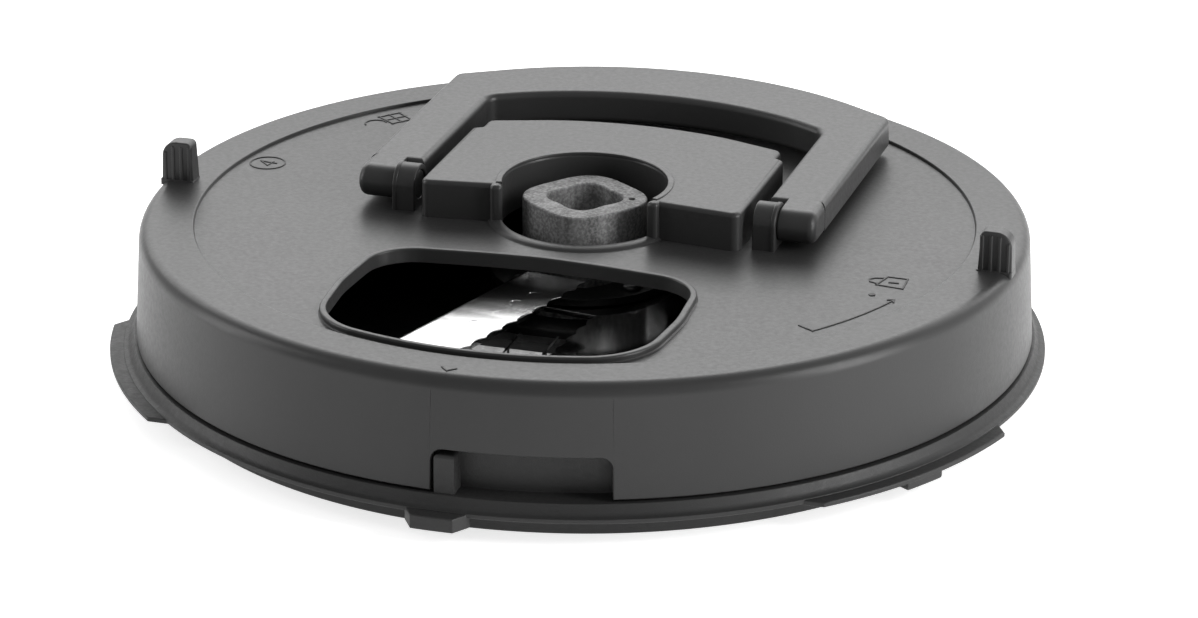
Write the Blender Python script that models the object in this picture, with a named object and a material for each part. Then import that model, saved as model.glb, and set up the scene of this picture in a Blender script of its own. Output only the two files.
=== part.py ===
"""Dicing attachment of a food processor: a lid with a folding carry handle, locked by a short twist on a base
ring that holds a dicing grid, with a serrated slicing disc between them and a planetary reduction that drives
it.

All sizes are in millimetres and every vertex is scaled to metres as it is made. +Z is up and -Y is the front.
Heights in the drawing start at the lugs' underside. The finished part's origin is on the disc's axis, at the
lower edge of the base's centring wall, which reaches below the lugs.
"""

import math

import bmesh
import bpy
from mathutils import Matrix

MM = 0.001
GAP = 0.3  # clearance between neighbouring pieces
CENTRING_WALL_DEPTH = 3.0  # how far the base reaches below the lugs, which lifts the drawing over the origin

# Facets of the round shapes.
LARGE_FACETS = 56
LOBED_FACETS = 40
MEDIUM_FACETS = 24
SMALL_FACETS = 12

# Lid: skirt, rim and the slightly sunk middle.
LID_BOTTOM_R = 100.0
LID_TOP_R = 98.8
SKIRT_BOTTOM_Z = 6.4
RIM_TOP_Z = 31.3
RIM_FILLET = 3.1
RIM_INNER_R = 86.5
PLATE_TOP_Z = 30.6
PLATE_THICKNESS = 1.8
SKIRT_THICKNESS = 2.3
HUB_HOLE_R = 18.5
BEAD_OUTER_R = 21.9

# Front notch in the skirt, in degrees about the axis.
NOTCH_ANGLES = (-91.3, -69.4)
NOTCH_TOP_Z = 15.5
NOTCH_CORNER = 2.5

# Food opening: its front edge is an arc about the axis.
FOOD_FRONT_R = 84.1
FOOD_HALF_WIDTH = 37.1
FOOD_REAR_Y = -29.7
LIP_WIDTH = 1.5
LIP_HEIGHT = 1.4

# Raised block between the handle's arms, and the handle.
BLOCK_X = 1.5  # middle of the block, its knuckles and the handle, to the right of the axis
BLOCK_HALF_WIDTH = 36.8
BLOCK_TOP_Z = 39.3
BLOCK_SKIN = 2.6
HINGE_Y = -3.0
HINGE_Z = 35.6
ARM_OUTER_X = 52.8
ARM_STEP_X = 44.3
ARM_INNER_X = 40.0
ARM_START_Y = 2.6
ARM_END_Y = 62.6
HANDLE_THICKNESS = 7.5
CROSSBAR_OUTER_R = 81.1
CROSSBAR_INNER_Y = 60.5
CROSSBAR_INNER_R = 74.0
BARREL_R = 3.7
JOURNAL_R = 3.1
KNUCKLE_X = (39.0, 44.0)
KNUCKLE_R = 4.6

# Finger tabs on the rim.
TAB_X = (90.6, 98.3)
TAB_Y = (-6.6, -2.6)
TAB_TOP_Z = 40.4

# Base ring.
WALL_R = 95.0
WALL_THICKNESS = 2.4
WALL_TOP_Z = 18.4
FLANGE_R = 103.0
FLANGE_BOTTOM_Z = 2.4
CENTRING_WALL_R = 96.0
FLANGE_EDGE_Z = 3.4
LEDGE_Z = 5.9
LEDGE_R = 100.4
DECK_Z = (9.0, 12.0)
DRUM_R = 27.3
DRUM_INNER_R = 24.8
DRUM_BOTTOM_Z = 3.9
DRUM_CEILING_Z = 12.6
DRUM_TOP_Z = 14.2
BUSHING_HOLE_R = 9.6
EAR_R = 106.0
EAR_ANGLES = (-30.0, 90.0, -150.0)
EAR_HALF_ANGLE = 15.0
EAR_TAPER_ANGLE = 2.0
EAR_ROOT = 1.5  # how deep an ear or a lug reaches into the flange
LUG_HALF_ANGLE = 2.8
LUG_OUTER_R = 105.2
FRONT_TAB_ANGLES = (-93.9, -92.5, -87.5, -86.1)  # root, tip, tip, root
STOP_POST_ANGLES = (-90.8, -88.3)
STOP_POST_R = 99.9
STOP_POST_Z = (4.6, 14.4)
BAYONET_ANGLES = (35.0, 145.0, 215.0, 325.0)
BAYONET_HALF_ANGLE = 8.0
LID_BAYONET_R = (95.6, 98.8)
LID_BAYONET_Z = (8.4, 10.4)
BASE_BAYONET_R = (94.2, 96.6)
BASE_BAYONET_Z = (10.7, 12.7)
COVER_EAR_ANGLES = (90.0, 210.0, 330.0)
COVER_EAR_R = 29.4
COVER_BOSS_R = 3.4
COVER_SCREW_HOLE_R = 1.7
COVER_BORE_R = 6.9

# Dicing grid.
PITCH = 8.5
GRID_HALF_WIDTH = 38.0
GRID_REAR_Y = -34.0
GRID_FRONT_R = 86.5
GRID_BAR = 2.0
GRID_RIM = 4.0
GRID_FRAME_Z = (5.4, 13.8)
GRID_RIM_Z = 12.3
STRIP_Z = (5.9, 15.4)
STRIP_THICKNESS = 0.5
STRIP_BITE = 1.2
STRIPS_ALONG_X = 5
STRIPS_ALONG_Y = 8

# Slicing disc and its blade. The blade's edge starts near the hub and leans back as it runs outwards.
DISC_R = 89.5
DISC_Z = (16.2, 17.4)
DISC_HOLE_R = 11.0
EDGE_START = (8.6, -23.2)
EDGE_DIRECTION = (-0.29, -0.957)
EDGE_LENGTH = 62.0
EDGE_Z = 25.2
BLADE_REAR_Z = 24.4
SLOT_WIDTHS = (1.4, 14.0)  # near the hub and near the rim
SCALLOPS = 11
SCALLOP_DEPTH = 0.9
BLADE_WIDTH = 16.0
BLADE_RISE = 18.5
BLADE_FOOT = 5.5
BLADE_THICKNESS = 0.8

# Hub, and what clamps the disc to it.
HUB_TOP_Z = 35.8
HUB_FLANGE_R = 21.0
HUB_FLANGE_THICKNESS = 1.7
HUB_R = 13.1
BORE_R = 7.7
LOBE = 0.85
LOBE_ANGLE = math.radians(9)
HUB_SCREW_R = 17.3
HUB_SCREW_ANGLE = 54.0
FIXING_HOLE_R = 1.3  # clearance hole round the hub's screws and the blade's rivets
FIXING_R = 1.0
BACKING_BORE_R = 9.0
BACKING_BOTTOM_Z = 14.7

# Planetary gears: the teeth are involutes on one module.
MODULE = 1.0
PRESSURE_ANGLE = math.radians(25)
BACKLASH = 0.3
SUN_TEETH = 18
PLANET_TEETH = 12
RING_TEETH = 42
PLANETS = 3
PLANET_CENTRE_R = MODULE * (SUN_TEETH + PLANET_TEETH) / 2
GEAR_Z = (4.8, 9.4)
CARRIER_Z = (9.7, 11.2)
STEM_TOP_Z = 25.2
JOURNAL_TOP_Z = 15.0
PIN_R = 1.5
PIN_HEAD_R = 2.3
PIN_HOLE_R = 1.8
COVER_Z = (1.9, 3.6)


# ---------------------------------------------------------------- shapes


def on_circle(radius, degrees):
    angle = math.radians(degrees)
    return radius * math.cos(angle), radius * math.sin(angle)


def arc(radius, start, end, steps, centre=(0.0, 0.0)):
    """Points on an arc, angles in degrees, both ends included."""
    points = []
    for i in range(steps + 1):
        x, y = on_circle(radius, start + (end - start) * i / steps)
        points.append((centre[0] + x, centre[1] + y))
    return points


def circle(radius, facets, centre=(0.0, 0.0)):
    return arc(radius, 0, 360, facets, centre)[:-1]


def rounded(corners, steps=4):
    """A closed outline from (x, y, radius) corners."""
    points = []
    for i, (x, y, radius) in enumerate(corners):
        if radius == 0:
            points.append((x, y))
            continue
        before = corners[i - 1]
        after = corners[(i + 1) % len(corners)]
        a = math.atan2(before[1] - y, before[0] - x)
        b = math.atan2(after[1] - y, after[0] - x)
        half = ((b - a + math.pi) % math.tau - math.pi) / 2
        reach = radius / math.sin(abs(half))
        cx = x + reach * math.cos(a + half)
        cy = y + reach * math.sin(a + half)
        turn = (math.pi / 2 - abs(half)) * math.copysign(1, half)
        middle = a + half + math.pi
        for k in range(steps + 1):
            angle = middle + turn - 2 * turn * k / steps
            points.append((cx + radius * math.cos(angle), cy + radius * math.sin(angle)))
    return points


def grown(outline, distance):
    """A smooth counterclockwise outline, moved outwards."""
    moved = []
    for i, (x, y) in enumerate(outline):
        ax, ay = outline[i - 1]
        bx, by = outline[(i + 1) % len(outline)]
        length = math.hypot(bx - ax, by - ay)
        moved.append((x + distance * (by - ay) / length, y - distance * (bx - ax) / length))
    return moved


def add_prism(bm, loops, bottom, top):
    """Adds an upright prism: the first loop is its outline and the others are holes."""
    edges = []
    for loop in loops:
        ring = [bm.verts.new((x * MM, y * MM, bottom * MM)) for x, y in loop]
        for i, vert in enumerate(ring):
            edges.append(bm.edges.new((vert, ring[(i + 1) % len(ring)])))
    filled = bmesh.ops.triangle_fill(bm, use_beauty=True, edges=edges)["geom"]
    faces = [item for item in filled if isinstance(item, bmesh.types.BMFace)]
    lifted = bmesh.ops.extrude_face_region(bm, geom=faces)["geom"]
    moved = [item for item in lifted if isinstance(item, bmesh.types.BMVert)]
    bmesh.ops.translate(bm, verts=moved, vec=(0, 0, (top - bottom) * MM))


def add_sector(bm, radii, angles, heights):
    """Adds a block bounded by two arcs about the axis."""
    steps = max(1, round(abs(angles[1] - angles[0]) / 4))
    outline = arc(radii[1], angles[0], angles[1], steps) + arc(radii[0], angles[1], angles[0], steps)
    add_prism(bm, [outline], *heights)


def prism(loops, bottom, top):
    bm = bmesh.new()
    add_prism(bm, loops, bottom, top)
    return bm


def turned(outline, facets, capped=False):
    """(radius, height) pairs turned about Z. A radius may be a function of the angle.

    The outline is closed, or where capped is set it is open and ends in a flat cap at each end.
    """
    bm = bmesh.new()
    rings = []
    for radius, height in outline:
        ring = []
        for i in range(facets):
            angle = math.tau * i / facets
            r = radius(angle) if callable(radius) else radius
            ring.append(bm.verts.new((r * math.cos(angle) * MM, r * math.sin(angle) * MM, height * MM)))
        rings.append(ring)
    following = rings[1:] if capped else rings[1:] + rings[:1]
    for a, b in zip(rings, following):
        for i in range(facets):
            k = (i + 1) % facets
            bm.faces.new((a[i], a[k], b[k], b[i]))
    if capped:
        bm.faces.new(rings[0])
        bm.faces.new(rings[-1])
    return bm


def lie_along_x(bm):
    """Turns a shape drawn as (y, z) and raised along Z so that it runs along X."""
    bmesh.ops.transform(bm, matrix=Matrix(((0, 0, 1), (1, 0, 0), (0, 1, 0))).to_4x4(), verts=bm.verts)
    return bm


def lie_along_y(bm):
    """Turns a shape drawn as (x, z) and raised along Z so that it runs along Y, and keeps z upright."""
    bmesh.ops.transform(bm, matrix=Matrix(((1, 0, 0), (0, 0, 1), (0, 1, 0))).to_4x4(), verts=bm.verts)
    return bm


def place(name, bm, material=None, at=(0, 0, 0)):
    """Makes the object. One without a material is a cutter or an addition for a Boolean."""
    bmesh.ops.recalc_face_normals(bm, faces=bm.faces)
    mesh = bpy.data.meshes.new(name)
    bm.to_mesh(mesh)
    bm.free()
    obj = bpy.data.objects.new(name, mesh)
    obj.location = [at[0] * MM, at[1] * MM, (at[2] + CENTRING_WALL_DEPTH) * MM]
    bpy.context.scene.collection.objects.link(obj)
    if material:
        mesh.materials.append(material)
        mesh.shade_smooth()
        mesh.set_sharp_from_angle(angle=math.radians(35))
    else:
        obj.hide_render = True
        obj.display_type = "WIRE"
    return obj


def combine(obj, operation, name, bm, at=(0, 0, 0)):
    """Adds to the object, or cuts from it, a second shape."""
    modifier = obj.modifiers.new(name, "BOOLEAN")
    modifier.operation = operation
    modifier.solver = "EXACT"
    modifier.object = place(name, bm, at=at)


def hang_on_empty(name, obj, at):
    """Puts the object under an empty on its joint's axis, without moving it."""
    empty = bpy.data.objects.new(name, None)
    empty.location = [at[0] * MM, at[1] * MM, (at[2] + CENTRING_WALL_DEPTH) * MM]
    empty.empty_display_size = 0.01
    bpy.context.scene.collection.objects.link(empty)
    obj.parent = empty
    obj.location = [-value * MM for value in at]


# ---------------------------------------------------------------- materials


def material(name, colour, roughness, metallic=0.0):
    made = bpy.data.materials.new(name)
    made.use_nodes = True
    shader = made.node_tree.nodes["Principled BSDF"]
    shader.inputs["Base Color"].default_value = (*colour, 1.0)
    shader.inputs["Roughness"].default_value = roughness
    shader.inputs["Metallic"].default_value = metallic
    return made


def make_materials():
    return {
        "lid": material("lid_plastic", (0.11, 0.11, 0.115), 0.42),
        "handle": material("handle_plastic", (0.115, 0.115, 0.12), 0.4),
        "base": material("base_plastic", (0.045, 0.045, 0.047), 0.5),
        "hub": material("glass_filled_nylon", (0.17, 0.17, 0.17), 0.75),
        "gear": material("gear_nylon", (0.72, 0.7, 0.66), 0.5),
        "steel": material("polished_steel", (0.62, 0.62, 0.64), 0.12, 1.0),
        "grid": material("grid_steel", (0.55, 0.55, 0.56), 0.25, 1.0),
        "screw": material("screw_steel", (0.5, 0.5, 0.5), 0.35, 1.0),
    }


# ---------------------------------------------------------------- lid and handle


def lid_outline():
    underside = PLATE_TOP_Z - PLATE_THICKNESS
    fillet_r = LID_TOP_R - RIM_FILLET
    fillet_z = RIM_TOP_Z - RIM_FILLET
    return [
        (HUB_HOLE_R, underside),
        (HUB_HOLE_R, PLATE_TOP_Z + 0.4),
        (HUB_HOLE_R + 0.8, PLATE_TOP_Z + 0.8),
        (BEAD_OUTER_R - 1.0, PLATE_TOP_Z + 0.8),
        (BEAD_OUTER_R, PLATE_TOP_Z),
        (RIM_INNER_R, PLATE_TOP_Z),
        (RIM_INNER_R + 0.5, RIM_TOP_Z),
        *reversed(arc(RIM_FILLET, 0, 90, 3, (fillet_r, fillet_z))),
        (LID_BOTTOM_R, SKIRT_BOTTOM_Z),
        (LID_BOTTOM_R - SKIRT_THICKNESS, SKIRT_BOTTOM_Z),
        (LID_TOP_R - SKIRT_THICKNESS, underside),
    ]


def food_outline():
    """Right half from the rear's middle to the front's middle, mirrored and put in counterclockwise order."""
    front = [(*on_circle(FOOD_FRONT_R, angle), 0.0) for angle in (-72.0, -78.0, -84.0, -90.0)]
    right = [
        (0.0, FOOD_REAR_Y, 0.0),
        (13.0, FOOD_REAR_Y - 0.9, 0.0),
        (FOOD_HALF_WIDTH - 1.4, FOOD_REAR_Y - 3.6, 11.0),
        (FOOD_HALF_WIDTH, FOOD_REAR_Y - 25.0, 40.0),
        (*on_circle(FOOD_FRONT_R, -65.2), 16.0),
        *front,
    ]
    left = [(-x, y, radius) for x, y, radius in reversed(right[1:-1])]
    return rounded(right + left)[::-1]


def block_outline(inset=0.0):
    """Plan of the raised block, counterclockwise, or of the hollow inside its skin."""
    side = BLOCK_HALF_WIDTH - inset
    step = 2.0 if inset == 0 else 0.5
    right = [
        (18.0, -7.8 + inset, 0.0),
        (side, -10.0 + inset, 2.0),
        (side, 27.0 - inset, 0.0),
        (side - step, 28.2 - inset, 0.0),
        (side - step, 33.0 - inset, 2.0),
        (18.0, 38.7 - inset, 0.0),
        (0.0, 41.0 - inset, 0.0),
    ]
    left = [(-x, y, radius) for x, y, radius in reversed(right[:-1])]
    return [(BLOCK_X + x, y) for x, y in rounded(right + left, 3)]


def knuckle_loops():
    """Side view, as (y, z), of the strap that holds the handle's journal."""
    strap = arc(KNUCKLE_R, 0, 180, 12, (HINGE_Y, HINGE_Z))
    foot = PLATE_TOP_Z - PLATE_THICKNESS / 2
    outline = [(HINGE_Y + KNUCKLE_R, foot)] + strap + [(HINGE_Y - KNUCKLE_R, foot)]
    return [outline, circle(JOURNAL_R + GAP, MEDIUM_FACETS, (HINGE_Y, HINGE_Z))]


def tab_outline(side):
    """Front view, as (x, z), of a finger tab."""
    foot = RIM_TOP_Z - 1.5
    corners = [
        (side * TAB_X[0], foot, 0.0),
        (side * TAB_X[1], foot, 0.0),
        (side * (TAB_X[1] - 0.3), TAB_TOP_Z, 3.5),
        (side * (TAB_X[0] + 0.5), TAB_TOP_Z, 1.2),
    ]
    return rounded(corners)


def notch_cutter():
    """A block that follows the skirt, with rounded upper corners."""
    low, high = NOTCH_ANGLES
    corner = math.degrees(NOTCH_CORNER / LID_BOTTOM_R)
    outline = [(low, SKIRT_BOTTOM_Z - 2), (high, SKIRT_BOTTOM_Z - 2)]
    for k in range(4):
        bend = math.radians(30 * k)
        rise = NOTCH_CORNER * (math.sin(bend) - 1)
        outline.append((high - corner * (1 - math.cos(bend)), NOTCH_TOP_Z + rise))
    steps = 6
    for k in range(1, steps):
        outline.append((high - corner + (low + 2 * corner - high) * k / steps, NOTCH_TOP_Z))
    for k in range(4):
        bend = math.radians(30 * (3 - k))
        rise = NOTCH_CORNER * (math.sin(bend) - 1)
        outline.append((low + corner * (1 - math.cos(bend)), NOTCH_TOP_Z + rise))
    bm = bmesh.new()
    rings = []
    for radius in (LID_TOP_R - SKIRT_THICKNESS - 3, LID_BOTTOM_R + 3):
        ring = []
        for angle, z in outline:
            x, y = on_circle(radius, angle)
            ring.append(bm.verts.new((x * MM, y * MM, z * MM)))
        rings.append(ring)
    count = len(outline)
    for i in range(count):
        k = (i + 1) % count
        bm.faces.new((rings[0][i], rings[0][k], rings[1][k], rings[1][i]))
    for ring in rings:
        edges = [bm.edges.get((ring[i], ring[(i + 1) % count])) for i in range(count)]
        bmesh.ops.triangle_fill(bm, use_beauty=True, edges=edges)
    return bm


def make_lid(materials):
    lid = place("lid_shell", turned(lid_outline(), LARGE_FACETS), materials["lid"])
    foot = PLATE_TOP_Z - PLATE_THICKNESS / 2
    food = food_outline()
    combine(lid, "UNION", "lip_addition", prism([grown(food, LIP_WIDTH)], foot, PLATE_TOP_Z + LIP_HEIGHT))
    combine(lid, "DIFFERENCE", "food_cutter", prism([food], PLATE_TOP_Z - 9, PLATE_TOP_Z + 9))
    combine(lid, "UNION", "block_addition", prism([block_outline()], foot, BLOCK_TOP_Z))
    hollow = prism([block_outline(BLOCK_SKIN)], PLATE_TOP_Z - 9, BLOCK_TOP_Z - BLOCK_SKIN)
    combine(lid, "DIFFERENCE", "block_cutter", hollow)
    hole = circle(HUB_HOLE_R + 0.02, LARGE_FACETS)
    combine(lid, "DIFFERENCE", "hub_hole_cutter", prism([hole], PLATE_TOP_Z - 9, BLOCK_TOP_Z + 9))
    extras = bmesh.new()
    for side in (-1, 1):
        ends = sorted(BLOCK_X + side * x for x in KNUCKLE_X)
        knuckle = bmesh.new()
        add_prism(knuckle, knuckle_loops(), *ends)
        merge(extras, lie_along_x(knuckle))
        tab = bmesh.new()
        add_prism(tab, [tab_outline(side)], *TAB_Y)
        merge(extras, lie_along_y(tab))
    for angle in BAYONET_ANGLES:
        span = (angle - BAYONET_HALF_ANGLE, angle + BAYONET_HALF_ANGLE)
        add_sector(extras, LID_BAYONET_R, span, LID_BAYONET_Z)
    combine(lid, "UNION", "knuckle_tab_and_lug_additions", extras)
    combine(lid, "DIFFERENCE", "notch_cutter", notch_cutter())
    return lid


def merge(target, source):
    """Copies one bmesh into another."""
    mesh = bpy.data.meshes.new("scratch")
    source.to_mesh(mesh)
    source.free()
    target.from_mesh(mesh)
    bpy.data.meshes.remove(mesh)


def handle_outline():
    rear = (0.0, CROSSBAR_INNER_Y - CROSSBAR_INNER_R)
    corner_y = rear[1] + math.sqrt(CROSSBAR_INNER_R**2 - ARM_INNER_X**2)
    outer = [(ARM_OUTER_X, ARM_START_Y, 0.0), (ARM_OUTER_X, ARM_END_Y, 3.0)]
    outer += [(*on_circle(CROSSBAR_OUTER_R, angle), 0.0) for angle in (60.0, 70.0, 80.0, 90.0)]
    inner = [(0.0, CROSSBAR_INNER_Y, 0.0)]
    inner += [(x, rear[1] + math.sqrt(CROSSBAR_INNER_R**2 - x * x), 0.0) for x in (12.0, 24.0)]
    inner += [(ARM_INNER_X, corner_y, 4.0), (ARM_INNER_X, ARM_START_Y, 0.0)]
    outer_left = [(-x, y, radius) for x, y, radius in reversed(outer[:-1])]
    inner_left = [(-x, y, radius) for x, y, radius in reversed(inner[1:])]
    outline = rounded(outer + outer_left + inner_left + inner, 3)
    return [(BLOCK_X + x, y) for x, y in outline]


def make_handle(materials):
    bottom = HINGE_Z - HANDLE_THICKNESS / 2
    slab = prism([handle_outline()], bottom, bottom + HANDLE_THICKNESS)
    handle = place("carry_handle", slab, materials["handle"])
    edges = handle.modifiers.new("edge_rounding", "BEVEL")
    edges.width = 1.0 * MM
    edges.segments = 2
    edges.limit_method = "ANGLE"
    edges.angle_limit = math.radians(60)
    ends = bmesh.new()
    journals = bmesh.new()
    barrel = arc(BARREL_R, 90, 270, 10, (HINGE_Y, HINGE_Z))
    barrel += [(ARM_START_Y + 3, HINGE_Z - BARREL_R), (ARM_START_Y + 3, HINGE_Z + BARREL_R)]
    for side in (-1, 1):
        end = prism([barrel], *sorted(BLOCK_X + side * x for x in (ARM_STEP_X, ARM_OUTER_X - 0.1)))
        merge(ends, lie_along_x(end))
        shaft = circle(JOURNAL_R, MEDIUM_FACETS, (HINGE_Y, HINGE_Z))
        journal = prism([shaft], *sorted(BLOCK_X + side * x for x in (KNUCKLE_X[0] + 0.2, ARM_STEP_X + 2)))
        merge(journals, lie_along_x(journal))
    combine(handle, "UNION", "arm_end_additions", ends)
    combine(handle, "UNION", "journal_additions", journals)
    hang_on_empty("handle_hinge", handle, (0, HINGE_Y, HINGE_Z))
    return handle


# ---------------------------------------------------------------- base and grid


def base_outline():
    inner = WALL_R - WALL_THICKNESS
    fillet = [(FLANGE_R, FLANGE_EDGE_Z), (101.9, 4.0), (101.0, 4.8), (LEDGE_R, LEDGE_Z)]
    return [
        (DRUM_INNER_R, DRUM_BOTTOM_Z),
        (DRUM_R, DRUM_BOTTOM_Z),
        (DRUM_R, DECK_Z[0]),
        (inner, DECK_Z[0]),
        (inner, -CENTRING_WALL_DEPTH),
        (CENTRING_WALL_R, -CENTRING_WALL_DEPTH),
        (CENTRING_WALL_R, FLANGE_BOTTOM_Z),
        (FLANGE_R, FLANGE_BOTTOM_Z),
        *fillet,
        (WALL_R, LEDGE_Z),
        (WALL_R, WALL_TOP_Z),
        (inner, WALL_TOP_Z),
        (inner, DECK_Z[1]),
        (DRUM_R, DECK_Z[1]),
        (DRUM_R, DRUM_TOP_Z),
        (BUSHING_HOLE_R, DRUM_TOP_Z),
        (BUSHING_HOLE_R, DRUM_CEILING_Z),
        (DRUM_INNER_R, DRUM_CEILING_Z),
    ]


def grid_outline(growth):
    """Plan of the grid's opening, grown by the given distance: an arc in front and a straight rear."""
    half = GRID_HALF_WIDTH + growth
    radius = GRID_FRONT_R + growth
    low = math.degrees(math.acos(half / radius))
    front = arc(radius, low - 180, -low, 14)
    rear = GRID_REAR_Y + growth
    return front + [(half, rear), (-half, rear)]


def ear_outline(angle):
    tip = (angle - EAR_HALF_ANGLE, angle + EAR_HALF_ANGLE)
    root = (tip[0] - EAR_TAPER_ANGLE, tip[1] + EAR_TAPER_ANGLE)
    outline = [on_circle(FLANGE_R - 0.5, root[0])]
    outline += arc(EAR_R, *tip, 8)
    outline += [on_circle(FLANGE_R - 0.5, root[1])]
    return outline + arc(FLANGE_R - EAR_ROOT, root[1], root[0], 8)


def front_tab_outline():
    left_root, left_tip, right_tip, right_root = FRONT_TAB_ANGLES
    outline = [on_circle(FLANGE_R - 0.5, left_root)]
    outline += arc(EAR_R, left_tip, right_tip, 2)
    outline += [on_circle(FLANGE_R - 0.5, right_root)]
    return outline + arc(FLANGE_R - EAR_ROOT, right_root, left_root, 2)


def make_base(materials):
    base = place("base_ring", turned(base_outline(), LARGE_FACETS), materials["base"])
    extras = bmesh.new()
    for angle in BAYONET_ANGLES:
        span = (angle - BAYONET_HALF_ANGLE, angle + BAYONET_HALF_ANGLE)
        add_sector(extras, BASE_BAYONET_R, span, BASE_BAYONET_Z)
    add_sector(extras, (WALL_R - 1.0, STOP_POST_R), STOP_POST_ANGLES, STOP_POST_Z)
    for angle in EAR_ANGLES:
        add_prism(extras, [ear_outline(angle)], FLANGE_BOTTOM_Z - 0.2, FLANGE_EDGE_Z - 0.1)
    add_prism(extras, [front_tab_outline()], 0.0, FLANGE_EDGE_Z - 0.2)
    combine(base, "UNION", "rim_additions", extras)
    lugs = bmesh.new()
    for angle in EAR_ANGLES:
        span = (angle - LUG_HALF_ANGLE, angle + LUG_HALF_ANGLE)
        add_sector(lugs, (FLANGE_R - EAR_ROOT, LUG_OUTER_R), span, (0.0, FLANGE_BOTTOM_Z + 0.4))
    for angle in COVER_EAR_ANGLES:
        centre = on_circle(COVER_EAR_R, angle)
        boss = circle(COVER_BOSS_R, SMALL_FACETS, centre)
        screw_hole = circle(COVER_SCREW_HOLE_R, SMALL_FACETS, centre)
        add_prism(lugs, [boss, screw_hole], DRUM_BOTTOM_Z, DECK_Z[0] + 1)
    combine(base, "UNION", "lug_and_boss_additions", lugs)
    opening = prism([grid_outline(GRID_BAR + GAP)], DECK_Z[0] - 4, DECK_Z[1] + 4)
    combine(base, "DIFFERENCE", "grid_opening_cutter", opening)


def strip_positions():
    """(x, front end, rear end) of each strip that runs along Y, and y of each that runs along X."""
    along_y = []
    for i in range(STRIPS_ALONG_Y):
        x = (i - (STRIPS_ALONG_Y - 1) / 2) * PITCH
        front = -math.sqrt(GRID_FRONT_R**2 - x * x)
        along_y.append((x, front - STRIP_BITE, GRID_REAR_Y + STRIP_BITE))
    along_x = [GRID_REAR_Y - (i + 1) * PITCH for i in range(STRIPS_ALONG_X)]
    return along_y, along_x


def strip_outline(start, end, crossings, slots_from_top):
    """Side view of a strip: a rectangle with a half-height slot at each crossing."""
    low, high = STRIP_Z
    middle = (low + high) / 2
    half = STRIP_THICKNESS / 2 + GAP
    if slots_from_top:
        edge, depth, plain = high, middle - GAP / 2, low
    else:
        edge, depth, plain = low, middle + GAP / 2, high
    outline = [(start, plain), (start, edge)]
    for at in sorted(crossings):
        outline += [(at - half, edge), (at - half, depth), (at + half, depth), (at + half, edge)]
    return outline + [(end, edge), (end, plain)]


def make_strips(materials):
    along_y, along_x = strip_positions()
    half = STRIP_THICKNESS / 2
    for i, (x, front, rear) in enumerate(along_y):
        bm = prism([strip_outline(front, rear, along_x, False)], x - half, x + half)
        place(f"grid_strip_y_{i + 1}", lie_along_x(bm), materials["grid"])
    reach = GRID_HALF_WIDTH + STRIP_BITE
    crossings = [x for x, _, _ in along_y]
    for i, y in enumerate(along_x):
        bm = prism([strip_outline(-reach, reach, crossings, True)], y - half, y + half)
        place(f"grid_strip_x_{i + 1}", lie_along_y(bm), materials["grid"])


def add_box(bm, x, y, z):
    add_prism(bm, [[(x[0], y[0]), (x[1], y[0]), (x[1], y[1]), (x[0], y[1])]], *z)


def make_grid_frame(materials):
    body = prism([grid_outline(GRID_BAR)], GRID_FRAME_Z[0], GRID_FRAME_Z[1] - 0.2)
    frame = place("grid_frame", body, materials["base"])
    rim = prism([grid_outline(GRID_RIM)], GRID_RIM_Z, GRID_FRAME_Z[1])
    combine(frame, "UNION", "grid_rim_addition", rim)
    opening = prism([grid_outline(0.0)], GRID_FRAME_Z[0] - 4, GRID_FRAME_Z[1] + 4)
    combine(frame, "DIFFERENCE", "grid_hollow_cutter", opening)
    slots = bmesh.new()
    along_y, along_x = strip_positions()
    half = STRIP_THICKNESS / 2 + GAP
    heights = (STRIP_Z[0] - GAP, GRID_FRAME_Z[1] + 4)
    for x, front, rear in along_y:
        add_box(slots, (x - half, x + half), (front - GAP, front + STRIP_BITE + 2), heights)
        add_box(slots, (x - half, x + half), (rear - STRIP_BITE - 2, rear + GAP), heights)
    reach = GRID_HALF_WIDTH + STRIP_BITE + GAP
    for y in along_x:
        add_box(slots, (-reach, -GRID_HALF_WIDTH + 2), (y - half, y + half), heights)
        add_box(slots, (GRID_HALF_WIDTH - 2, reach), (y - half, y + half), heights)
    combine(frame, "DIFFERENCE", "strip_slot_cutter", slots)


# ---------------------------------------------------------------- disc, blade and hub


def on_edge(along, across):
    """A point at a distance along the blade's edge and a distance ahead of it."""
    dx, dy = EDGE_DIRECTION
    return EDGE_START[0] + along * dx - across * dy, EDGE_START[1] + along * dy + across * dx


def scallop(along):
    return SCALLOP_DEPTH * abs(math.sin(math.pi * SCALLOPS * along / EDGE_LENGTH))


def slot_outline():
    """The slot ahead of the blade: a straight side under the edge and a wavy side that widens to the rim."""
    steps = SCALLOPS * 4
    outline = [on_edge(-1.0, -2.0), on_edge(EDGE_LENGTH + 0.6, -2.0)]
    for i in range(steps, -1, -1):
        along = EDGE_LENGTH * i / steps
        width = SLOT_WIDTHS[0] + (SLOT_WIDTHS[1] - SLOT_WIDTHS[0]) * i / steps
        outline.append(on_edge(along, width - scallop(along)))
    return outline


def make_disc(materials):
    holes = [circle(DISC_HOLE_R, MEDIUM_FACETS), slot_outline()]
    for x, y in hub_screw_centres():
        holes.append(circle(FIXING_HOLE_R, SMALL_FACETS, (x, y)))
    for x, y in blade_rivet_centres():
        holes.append(circle(FIXING_HOLE_R, SMALL_FACETS, (x, y)))
    place("slicing_disc", prism([circle(DISC_R, LARGE_FACETS)] + holes, *DISC_Z), materials["steel"])


def blade_rivet_centres():
    return [on_edge(EDGE_LENGTH * (i + 0.5) / 4, -BLADE_RISE - BLADE_FOOT / 2) for i in range(4)]


def hub_screw_centres():
    return [on_circle(HUB_SCREW_R, HUB_SCREW_ANGLE + 90 * i) for i in range(4)]


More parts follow.
